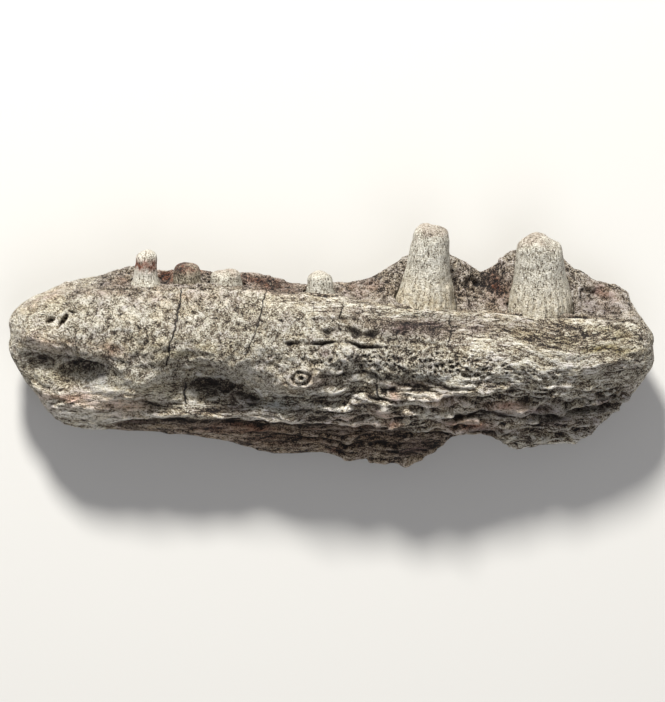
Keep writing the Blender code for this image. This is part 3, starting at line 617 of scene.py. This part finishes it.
def bone_zones(points, normals):
    """The parts of the bone that wear in their own ways, mostly 0 to 1, and some distances and depths."""
    x, y, _ = points.T
    jitter = 0.16 * noise_at(points, 2.4, 2)
    behind = y - line_at(PARAPET_LINE, x) + jitter
    below = line_at(LEDGE_LINE, x) - y + jitter
    outer = step_up(normals[:, 2], -0.3, 0.1)
    beyond = 1 - within(PARAPET_LINE, x, 1.0)
    shelf = step_up(behind, 0.0, 0.5) * (1 - beyond) * step_up(normals[:, 2], -0.5, -0.1)
    flange = step_up(below, 0.0, 0.5) * within(LEDGE_LINE, x, 2.0)
    inner = 1 - step_up(normals[:, 2], -0.35, 0.1)
    ends = step_up(np.abs(x), *ENDS)
    steady = 0.32 + 0.68 * step_up(normals[:, 2], -0.05, 0.45)
    low_face = step_up(y + 2.0 * jitter, *LOW_FACE)
    fibrous = np.clip(
        low_face
        + step_up(x, *FIBROUS_RIGHT)
        + step_up(behind, -4.6, -1.6) * step_up(x, *FIBROUS_BAND)
        + 0.6 * step_up(x, *FIBROUS_TIP)
        + inner,
        0, 1,
    ) * (1 - 0.85 * shelf)
    under_parapet = step_up(behind, -3.0, -1.0) * step_up(x, -6.0, 4.0) * (1 - shelf) * (1 - beyond)
    calm = 1 - np.clip(sum(soft_oval(x, y, form) for form in SMOOTH_PLACES) + 0.7 * under_parapet, 0, 1)
    ridged = np.clip(low_face * (0.45 + 0.55 * step_up(x, -14.0, -4.0)) + 0.35 * inner, 0, 1)
    ridged = ridged * calm * (1 - shelf) * (0.7 + 0.7 * step_up(x, -8.0, 6.0))
    # The crease bottoms' darkening: sediment in them, and painted shade
    creased, sediment = creases_at(points)
    spongy = sum(soft_oval(x, y, form) for form in SPONGY_PLACES) * outer
    spongy = np.clip(spongy * (1 - shelf) + 0.8 * shelf, 0, 1) * calm
    return {
        "behind": behind, "below": below, "outer": outer, "shelf": shelf, "flange": flange, "inner": inner,
        "ends": ends, "steady": steady, "fibrous": fibrous, "ridged": ridged, "spongy": spongy, "calm": calm,
        "creased": creased, "sediment": sediment,
    }


def ridges_at(points, size, octaves):
    """Sharp broken ridges, from about -1 in their valleys to 1 on their crests."""
    scaled = (points / np.asarray(size)).tolist()
    return np.array([noise.ridged_multi_fractal(p, 1.0, 2.1, octaves, 1.0, 2.0) for p in scaled]) - 1.15


def layered(across, points, spacing):
    """0 to 1 over thin layers broken off one after another: each rises slowly and ends in a small cliff."""
    phase = across / spacing + 1.0 * noise_at(points, (6.0, 2.6, 3.0), 2)
    share = phase - np.floor(phase)
    return step_up(share, 0.0, 0.75) - step_up(share, 0.78, 0.98)


def bone_height(points, zones, grain, cracks):
    """How far the weathering and the forms each lift the surface off the CAD solid's, in millimetres."""
    x, y, z = points.T
    outer, shelf, fibrous, spongy, calm, ridged = (
        zones[name] for name in ("outer", "shelf", "fibrous", "spongy", "calm", "ridged")
    )
    rough = 0.35 * noise_at(points, 1.5, 3)

    lumps = relief(points, LUMPS)
    height = (lumps + (relief(grain, LONG_LUMPS) - lumps) * 0.85 * fibrous) * (0.3 + 0.7 * calm)
    in_places = step_up(noise_at(points, 4.0), -0.5, 0.4)
    height += ROUND_RIDGES[0] * ridges_at(points, ROUND_RIDGES[1], 3) * (1 - fibrous) * calm * in_places
    height += ridged * LONG_RIDGES[0] * ridges_at(grain, LONG_RIDGES[1], 3)
    broken = step_up(noise_at(points, (4.6, 2.6, 2.6)), -0.35, 0.25)
    height += ridged * LAYERS[0] * layered(grain[:, 1], points, LAYERS[1]) * broken
    height += fibrous * FINE_RIDGES[0] * ridges_at(grain, FINE_RIDGES[1], 2) * (0.4 + 0.6 * calm)
    swirled = points + 0.5 * np.column_stack([noise_at(points + k, 1.1) for k in (3.0, 8.0, 13.0)])
    inside = step_up(cells_at(swirled, CELLS[1]), 0.08, 0.5)
    height -= CELLS[0] * inside * np.clip(spongy - 0.4 * shelf + 0.6 * zones["ends"], 0, 1)
    height += spongy * relief(points, [SPONGY_LUMPS])
    height *= zones["steady"]

    forms = sum(soft_oval(x, y, form) for form in BOSSES.values())
    forms = forms + sum(ring_mark(x, y, form, rough) for form in RING_MARKS.values())
    forms = forms - sum(steep_oval(x, y, form, rough) for form in PITS.values())
    forms = forms - sum(alcove(x, y, form, rough) for form in ALCOVES.values())
    forms = forms - zones["creased"]

    behind, below = zones["behind"], zones["below"]
    deeper = 0.4 + 0.6 * step_up(x, 0, 30)
    row = along_line(behind, PARAPET_GROOVE) * deeper + along_line(behind, PARAPET_LIP)
    forms = forms + within(PARAPET_LINE, x, 1.5) * row
    ledge = along_line(below, LEDGE_GROOVE) + along_line(below, LEDGE_LIP)
    forms = forms + within(LEDGE_LINE, x, 3.0) * ledge
    forms = (forms + along_line(cracks, CRACK_GROOVE)) * outer
    height += SHELF_LUMPS[0] * shelf * noise_at(points, SHELF_LUMPS[1], 3)
    kept = step_up(z, 0.0, 1.2) * (1 - 0.5 * zones["ends"])
    return height * kept, forms * kept


def stains_and_painted_shade(points, zones, grain):
    """Stain marks, pale patches and dark patches with painted shade among them, broken up at their edges. The
    hidden side has loose patches of its own.
    """
    x, y, _ = points.T
    outer, inner = zones["outer"], zones["inner"]
    found = {}
    for name, forms in STAINS_AND_PAINTED_SHADE.items():
        blotchy = noise_at(points + len(name) * 7.0, (2.6, 1.6, 1.6), 3)
        streaky = noise_at(grain + len(name) * 7.0, (7.0, 1.1, 1.6), 3)
        ragged = 0.75 + 0.9 * (blotchy + (streaky - blotchy) * zones["fibrous"])
        on_face = sum(soft_oval(x, y, form) for form in forms)
        hidden = 0.6 * step_up(noise_at(points - len(name) * 5.0, (11.0, 6.0, 6.0), 2), 0.1, 0.5)
        found[name] = np.clip((on_face * outer + hidden * inner) * ragged, 0, 1.4)
    # Painted shade and dirt in the groove along the parapet
    parapet = within(PARAPET_LINE, x, 1.5) * bell(zones["behind"] - 0.1, 0.25)
    # Painted shadow under the overhang of the ledge
    painted_ledge_shadow = within(LEDGE_LINE, x, 3.0) * bell(zones["below"] - 0.45, 0.4)
    lip = within(LEDGE_LINE, x, 3.0) * bell(zones["below"] + 0.3, 0.35)
    found["dark"] = np.clip(found["dark"] + 0.8 * parapet * outer, 0, 1.4)
    # The ledge's painted shadow and the creases' sediment and painted shade join the sediment marks
    found["packed"] = np.clip(found["packed"] + (0.7 * painted_ledge_shadow + 0.8 * zones["sediment"]) * outer, 0, 1)
    found["pale"] = np.clip(found["pale"] + 0.6 * lip * outer, 0, 1.4)
    return found


def bone_piece():
    """The bone, smoothed, weathered and carved, with what its material reads kept as attributes."""
    piece = fine_copy("jaw_bone", "bone", BONE_VOXEL)
    mesh = piece.data
    edges = mesh_edges(mesh)
    points = mesh_points(mesh)
    box = box_of(points)
    # The solid's flat lies at height 0, and the remeshed one a hair lower
    box[0][2] = 0
    near_end = step_up(np.abs(points[:, 0]), *SOFT_ENDS)[:, None]
    smooth, smoother = softened(points, edges, 10), softened(points, edges, 80)
    set_points(mesh, refilled(smooth + (smoother - smooth) * near_end, box))
    points, normals = mesh_points(mesh), averaged(mesh_normals(mesh), edges, 24)
    normals /= np.linalg.norm(normals, axis=1)[:, None]
    zones = bone_zones(points, normals)
    grain = np.column_stack([points[:, 0], grain_across(points), points[:, 2]])
    cracks = crack_distance(points)
    weathering, forms = bone_height(points, zones, grain, cracks)
    height = weathering + forms
    slanted = normals + np.array([0, 0, 1.0]) * zones["outer"][:, None]
    slanted /= np.linalg.norm(slanted, axis=1)[:, None]
    moved = points + normals * weathering[:, None] + slanted * forms[:, None]
    moved[:, 2] = np.maximum(moved[:, 2], 0)
    moved = refilled(moved, box)
    set_points(mesh, moved)
    # Height against the neighbourhood: ridges come out paler, as wear does, and hollows and crevices darker,
    # as painted shade
    wear_and_crevice_shade = (height - averaged(height, edges, 6)) / 0.1 + (height - averaged(height, edges, 50)) / 0.36
    set_attribute(mesh, "wear_and_crevice_shade", np.clip(0.6 * wear_and_crevice_shade, -1.5, 0.9))
    for name in ("spongy", "fibrous", "shelf", "flange"):
        set_attribute(mesh, name, zones[name])
    set_attribute(mesh, "crack", np.where(zones["outer"] > 0.3, cracks, FAR_FROM_CRACKS))
    set_attribute(mesh, "grain", grain * np.array([GRAIN_STRETCH, 1, GRAIN_SINK]))
    for name, values in stains_and_painted_shade(moved, zones, grain).items():
        set_attribute(mesh, name, values)
    thin_out(piece, BONE_TRIANGLES)
    # Thinning can push a point a hair past the box
    set_points(piece.data, np.clip(mesh_points(piece.data), *box))
    smooth_shaded(piece.data)
    return piece


# The teeth


def tooth_axes(name):
    """A stump's own directions: sideways, downwards and along its length."""
    axis = Vector((TOOTH_LOOKS[name]["lean"], 1.0, TOOTH_RISE)).normalized()
    side = (Vector((1, 0, 0)) - axis * axis.x).normalized()
    return np.array([side, axis.cross(side), axis])


def tooth_piece(name):
    """A stump with its fluted foot, its fine upright striations and its rough broken top."""
    piece = fine_copy(name, name + "_stump", TOOTH_VOXEL)
    mesh = piece.data
    looks = TOOTH_LOOKS[name]
    box = box_of(mesh_points(mesh))
    edges = mesh_edges(mesh)
    set_points(mesh, refilled(softened(mesh_points(mesh), edges, 40), box))
    points, normals = mesh_points(mesh), averaged(mesh_normals(mesh), edges, 6)
    normals /= np.linalg.norm(normals, axis=1)[:, None]
    own = points @ tooth_axes(name).T
    length = own[:, 2].max() - own[:, 2].min()
    up = (own[:, 2] - own[:, 2].min()) / length
    own[:, :2] -= own[up < 0.5][:, :2].mean(axis=0)
    around = np.arctan2(own[:, 1], own[:, 0])
    foot = step_up(up, 0.7, 0.3)
    top = looks["top"] * step_up(up + 0.1 * noise_at(points, 1.6, 3), 0.9, 0.99)
    size = np.hypot(own[:, 0], own[:, 1]).max()
    flutes = round(FLUTES * size ** 0.6)
    stretched = own * np.array([1, 1, 0.22])
    waves = np.cos(flutes * around + 1.6 * noise_at(points, 3.0))
    height = (FLUTE_DEPTH + 0.06 * looks["dirt"]) * foot * waves
    height += STRIATIONS[0] * ridges_at(stretched, STRIATIONS[1], 3) * step_up(up, 0.95, 0.7)
    height += relief(points, [TOOTH_LUMPS]) + top * relief(points, [TOP_LUMPS])
    flare = FOOT_FLARE * step_up(up, 0.62, 0.35)
    moved = points + normals * (height + flare)[:, None]
    set_points(mesh, refilled(moved, box_of(points)))
    # Ridges of the stump come out paler, as wear does, and its grooves darker, as painted shade
    wear_and_crevice_shade = height - averaged(height, edges, 14)
    band, strength = looks["rust"]
    ragged = 0.8 + 0.9 * noise_at(points, 0.9, 3)
    rust = strength * bell(up - band, 0.09) + looks["top_rust"] * top
    set_attribute(mesh, "wear_and_crevice_shade", np.clip(wear_and_crevice_shade / 0.2, -1, 1))
    set_attribute(mesh, "own", own)
    set_attribute(mesh, "dirt", np.full(len(up), looks["dirt"]))
    set_attribute(mesh, "top", top)
    set_attribute(mesh, "foot", np.clip(foot * looks["foot"] * ragged, 0, 1))
    set_attribute(mesh, "rust", np.clip(rust * ragged, 0, 1))
    smooth_shaded(mesh)
    return piece


# Materials


def colour(hex_code):
    """An sRGB hex colour as the linear colour that a shader takes."""
    channels = [int(hex_code[i:i + 2], 16) / 255 for i in (0, 2, 4)]
    linear = [c / 12.92 if c <= 0.04045 else ((c + 0.055) / 1.055) ** 2.4 for c in channels]
    return (*linear, 1.0)


def add(tree, kind, inputs=None, stops=None, **settings):
    """Adds a node with its settings, its inputs (values or links) and, on a colour ramp, its stops."""
    made = tree.nodes.new(kind)
    for key, value in settings.items():
        setattr(made, key, value)
    for key, value in (inputs or {}).items():
        if isinstance(value, bpy.types.NodeSocket):
            tree.links.new(value, made.inputs[key])
        else:
            made.inputs[key].default_value = value
    for i, (place, tint) in enumerate(stops or []):
        element = made.color_ramp.elements[i] if i < 2 else made.color_ramp.elements.new(place)
        element.position = place
        element.color = colour(tint)
    return made


def new_material(name):
    material = bpy.data.materials.new(name)
    material.use_nodes = True
    tree = material.node_tree
    shader = tree.nodes["Principled BSDF"]
    return material, tree, shader


def place_and_attributes(tree, names):
    """Each point's place in millimetres, and the piece's attributes: their numbers and their nodes."""
    place = add(tree, "ShaderNodeTexCoord").outputs["Object"]
    position = add(
        tree, "ShaderNodeVectorMath", {0: place, "Scale": 1 / MM}, operation="SCALE"
    ).outputs[0]
    nodes = {name: add(tree, "ShaderNodeAttribute", attribute_name=name) for name in names}
    return position, {name: node.outputs["Fac"] for name, node in nodes.items()}, nodes


def lightness(tree, start, sources, shares):
    """The start value, with each source's distance from its middle added by its own share."""
    total = start
    for name, (share, middle) in shares.items():
        off = add(tree, "ShaderNodeMath", {0: sources[name], 1: middle}, operation="SUBTRACT").outputs[0]
        total = add(tree, "ShaderNodeMath", {0: off, 1: share, 2: total}, operation="MULTIPLY_ADD").outputs[0]
    return total


def stained(tree, base, read, tints):
    """The base colour, multiplied by each stain's tint as strongly as that stain lies there."""
    for name, (tint, strength) in tints.items():
        factor = add(
            tree, "ShaderNodeMath", {0: read[name], 1: strength}, operation="MULTIPLY", use_clamp=True
        ).outputs[0]
        base = add(
            tree, "ShaderNodeMix", {"Factor": factor, 6: base, 7: colour(tint)}, data_type="RGBA",
            blend_type="MULTIPLY",
        ).outputs[2]
    return base


def fine_gaps(tree, place, size):
    """0 to 1: thin winding gaps filled with dark sediment, along the level lines of a noise of that size."""
    level = add(
        tree, "ShaderNodeTexNoise",
        {"Vector": place, "Scale": 1 / size, "Detail": 2.0, "Roughness": 0.6, "Distortion": 0.3},
    ).outputs["Fac"]
    off = add(tree, "ShaderNodeMath", {0: level, 1: 0.5}, operation="SUBTRACT").outputs[0]
    away = add(tree, "ShaderNodeMath", {0: off}, operation="ABSOLUTE").outputs[0]
    return add(
        tree, "ShaderNodeMapRange",
        {"Value": away, "From Min": 0.005, "From Max": 0.055, "To Min": 1.0, "To Max": 0.0},
    ).outputs[0]


def fossil_bone():
    """Permineralised bone, weathered out and left raw. Its rubbed ridges are pale and a little polished, and
    its hollows, creases and pits are darkened with painted shade. Its pores, half a millimetre wide, are
    filled with dark brown sediment, and iron has stained it rust red.
    """
    material, tree, shader = new_material("permineralised_bone")
    names = ("wear_and_crevice_shade", "fibrous", "spongy", "shelf", "flange", "crack", "grain", *STAINS_AND_PAINTED_SHADE)
    position, read, nodes = place_and_attributes(tree, names)
    grain = nodes["grain"].outputs["Vector"]
    sources = dict(read)

    speckle = add(
        tree, "ShaderNodeTexNoise",
        {"Vector": position, "Scale": 1 / SPECKLE, "Detail": 4.0, "Roughness": 0.75, "Distortion": 1.6},
    ).outputs["Fac"]
    fibres = add(
        tree, "ShaderNodeTexNoise",
        {"Vector": grain, "Scale": 1 / FIBRE, "Detail": 4.0, "Roughness": 0.75, "Distortion": 0.4},
    ).outputs["Fac"]
    weave = add(tree, "ShaderNodeMix", {"Factor": read["fibrous"], 2: speckle, 3: fibres}).outputs[0]
    sources["weave"] = weave
    gaps = fine_gaps(tree, position, GAP)
    long_gaps = fine_gaps(tree, grain, LONG_GAP)
    sources["gaps"] = add(
        tree, "ShaderNodeMix", {"Factor": read["fibrous"], 2: gaps, 3: long_gaps}
    ).outputs[0]
    sources["grit"] = add(
        tree, "ShaderNodeTexNoise", {"Vector": position, "Scale": 1 / GRIT, "Detail": 1.0}
    ).outputs["Fac"]
    blotches = add(
        tree, "ShaderNodeTexNoise", {"Vector": position, "Scale": 1 / BLOTCH, "Detail": 3.0}
    ).outputs["Fac"]
    streaks = add(
        tree, "ShaderNodeTexNoise", {"Vector": grain, "Scale": 1 / STREAK, "Detail": 3.0}
    ).outputs["Fac"]
    sources["blotches"] = add(
        tree, "ShaderNodeMix", {"Factor": read["fibrous"], 2: blotches, 3: streaks}
    ).outputs[0]
    sources["wide"] = add(
        tree, "ShaderNodeTexNoise", {"Vector": position, "Scale": 1 / WIDE_PATCH, "Detail": 3.0}
    ).outputs["Fac"]
    shake = add(tree, "ShaderNodeTexNoise", {"Vector": position, "Scale": 1 / PORE}).outputs["Color"]
    shaken = add(
        tree, "ShaderNodeVectorMath", {0: shake, 1: (0.8, 0.8, 0.8), 2: position}, operation="MULTIPLY_ADD"
    ).outputs[0]
    inside_pore = add(
        tree, "ShaderNodeTexVoronoi", {"Vector": shaken, "Scale": 1 / PORE}, feature="DISTANCE_TO_EDGE"
    ).outputs["Distance"]
    network = add(
        tree, "ShaderNodeMapRange",
        {"Value": inside_pore, "From Min": 0.03, "From Max": 0.32, "To Min": 0.1, "To Max": -0.16},
        interpolation_type="SMOOTHSTEP",
    ).outputs[0]
    sources["webbed"] = add(
        tree, "ShaderNodeMath", {0: network, 1: read["spongy"]}, operation="MULTIPLY"
    ).outputs[0]
    total = lightness(tree, weave, sources, BONE_LIGHTNESS)

    raw = add(
        tree, "ShaderNodeValToRGB", {"Fac": total},
        stops=[(0.26, "1C1511"), (0.78, "FAF5EC"), (0.36, "4C3F34"), (0.45, "857664"), (0.54, "AFA591"),
               (0.65, "D8D1BF")],
    ).outputs["Color"]
    bed = add(
        tree, "ShaderNodeTexNoise",
        {"Vector": position, "Scale": 1 / HUE_PATCH, "Detail": 3.0, "Distortion": 0.8},
    ).outputs["Fac"]
    hue = add(
        tree, "ShaderNodeValToRGB", {"Fac": bed},
        stops=[(0.36, "DBD3D8"), (0.64, "F5E9CC"), (0.45, "F2F0EC"), (0.55, "FBF9F0")],
    ).outputs["Color"]
    tinted = add(
        tree, "ShaderNodeMix", {"Factor": 0.42, 6: raw, 7: hue}, data_type="RGBA", blend_type="MULTIPLY"
    ).outputs[2]
    tinted = stained(tree, tinted, read, BONE_TINTS)
    # Sediment and painted shadow, mixed in towards near-black brown
    packed = add(tree, "ShaderNodeMath", {0: read["packed"], 1: 0.85}, operation="MULTIPLY").outputs[0]
    tinted = add(
        tree, "ShaderNodeMix", {"Factor": packed, 6: tinted, 7: colour("2A211A")}, data_type="RGBA"
    ).outputs[2]
    from_crack = add(tree, "ShaderNodeMath", {0: read["crack"]}, operation="ABSOLUTE").outputs[0]
    whole = add(
        tree, "ShaderNodeMapRange", {"Value": from_crack, "From Min": 0.04, "From Max": 0.17},
        interpolation_type="SMOOTHSTEP",
    ).outputs[0]
    final = add(
        tree, "ShaderNodeMix", {"Factor": whole, 6: colour("1E1813"), 7: tinted}, data_type="RGBA"
    ).outputs[2]
    tree.links.new(final, shader.inputs["Base Color"])

    raised = add(tree, "ShaderNodeMath", {0: total, 1: whole}, operation="MULTIPLY").outputs[0]
    bump = add(tree, "ShaderNodeBump", {"Height": raised, "Distance": BONE_BUMP * MM, "Strength": 0.9})
    tree.links.new(bump.outputs["Normal"], shader.inputs["Normal"])
    dullness = add(
        tree, "ShaderNodeMapRange",
        {"Value": total, "From Min": 0.4, "From Max": 0.7, "To Min": 0.8, "To Max": 0.48},
    ).outputs[0]
    tree.links.new(dullness, shader.inputs["Roughness"])
    return material


def fossil_dentine():
    """Fossil tooth, snapped off and weathered: its dentine is chalky white with a faint grey, and folded
    lengthwise, so fine dark lines of sediment run up it. The broken top is rough, brownish and porous.
    """
    material, tree, shader = new_material("folded_fossil_dentine")
    position, read, nodes = place_and_attributes(tree, ("wear_and_crevice_shade", "own", "top", "foot", "rust", "dirt"))
    sources = dict(read)
    upright = add(
        tree, "ShaderNodeVectorMath", {0: nodes["own"].outputs["Vector"], 1: FOLD_STRETCH},
        operation="MULTIPLY",
    ).outputs[0]
    folds = add(
        tree, "ShaderNodeTexNoise", {"Vector": upright, "Scale": 1 / FOLD, "Detail": 3.0, "Roughness": 0.72}
    ).outputs["Fac"]
    pores = add(
        tree, "ShaderNodeTexNoise",
        {"Vector": position, "Scale": 1 / DENTINE_PORE, "Detail": 4.0, "Roughness": 0.7},
    ).outputs["Fac"]
    porous = add(tree, "ShaderNodeMath", {0: read["foot"], 1: read["top"]}, operation="MAXIMUM").outputs[0]
    weave = add(tree, "ShaderNodeMix", {"Factor": porous, 2: folds, 3: pores}).outputs[0]
    sources["grit"] = add(
        tree, "ShaderNodeTexNoise", {"Vector": position, "Scale": 1 / GRIT, "Detail": 1.0}
    ).outputs["Fac"]
    sources["blotches"] = add(
        tree, "ShaderNodeTexNoise", {"Vector": position, "Scale": 1 / TOOTH_BLOTCH, "Detail": 3.0}
    ).outputs["Fac"]
    sources["gaps"] = fine_gaps(tree, upright, FOLD_GAP)
    total = lightness(tree, weave, sources, TOOTH_LIGHTNESS)
    raw = add(
        tree, "ShaderNodeValToRGB", {"Fac": total},
        stops=[(0.28, "3A3027"), (0.72, "EDEAE1"), (0.36, "7A7062"), (0.43, "ABA595"), (0.54, "CFCBBF")],
    ).outputs["Color"]
    tree.links.new(stained(tree, raw, read, TOOTH_TINTS), shader.inputs["Base Color"])
    bump = add(tree, "ShaderNodeBump", {"Height": total, "Distance": TOOTH_BUMP * MM, "Strength": 0.7})
    tree.links.new(bump.outputs["Normal"], shader.inputs["Normal"])
    dullness = add(
        tree, "ShaderNodeMapRange",
        {"Value": total, "From Min": 0.35, "From Max": 0.65, "To Min": 0.7, "To Max": 0.42},
    ).outputs[0]
    tree.links.new(dullness, shader.inputs["Roughness"])
    return material


def floor_paper():
    """Heavy matt paper, uncoated, so it shows no gloss."""
    material, _, shader = new_material("pale_matt_paper")
    shader.inputs["Base Color"].default_value = colour("C4C2BE")
    shader.inputs["Roughness"].default_value = 0.9
    return material


# The scene round the jaw


def floor():
    bm = bmesh.new()
    bmesh.ops.create_grid(bm, x_segments=1, y_segments=1, size=FLOOR_M)
    mesh = bpy.data.meshes.new("floor")
    bm.to_mesh(mesh)
    bm.free()
    mesh.materials.append(floor_paper())
    piece = bpy.data.objects.new("floor", mesh)
    bpy.context.scene.collection.objects.link(piece)


def area_light(name, place_m, size_m, watts, tint):
    data = bpy.data.lights.new(name, "AREA")
    data.shape = "DISK"
    data.size = size_m
    data.energy = watts
    data.color = colour(tint)[:3]
    light = bpy.data.objects.new(name, data)
    light.location = place_m
    light.rotation_euler = (-Vector(place_m)).to_track_quat("-Z", "Y").to_euler()
    bpy.context.scene.collection.objects.link(light)


def studio():
    """A soft light from beyond the tooth row, a weak fill, and a camera straight above."""
    area_light("key", *KEY_LIGHT)
    area_light("fill", *FILL_LIGHT)
    world = bpy.data.worlds.new("studio")
    world.use_nodes = True
    world.node_tree.nodes["Background"].inputs["Color"].default_value = colour("F4F4F6")
    world.node_tree.nodes["Background"].inputs["Strength"].default_value = ROOM_LIGHT
    bpy.context.scene.world = world
    bpy.context.scene.view_settings.view_transform = "Standard"
    data = bpy.data.cameras.new("camera")
    data.lens = CAMERA_LENS
    camera = bpy.data.objects.new("camera", data)
    camera.location = (CAMERA_SIDE * MM, CAMERA_DOWN * MM, CAMERA_HEIGHT_M)
    bpy.context.scene.collection.objects.link(camera)
    bpy.context.scene.camera = camera


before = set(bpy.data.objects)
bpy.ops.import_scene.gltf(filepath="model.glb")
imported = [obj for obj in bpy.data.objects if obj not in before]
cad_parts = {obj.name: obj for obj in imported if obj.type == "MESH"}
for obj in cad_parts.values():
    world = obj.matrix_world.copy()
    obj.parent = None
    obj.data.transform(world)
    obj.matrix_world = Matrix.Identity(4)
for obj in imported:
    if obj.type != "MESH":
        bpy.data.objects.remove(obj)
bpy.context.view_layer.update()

bone = bone_piece()
bone.data.materials.append(fossil_bone())
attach(bone, "root")
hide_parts("jaw_bone")
dentine = fossil_dentine()
for tooth_name in TOOTH_LOOKS:
    stump = tooth_piece(tooth_name)
    stump.data.materials.append(dentine)
    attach(stump, "root")
    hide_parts(tooth_name)
floor()
studio()
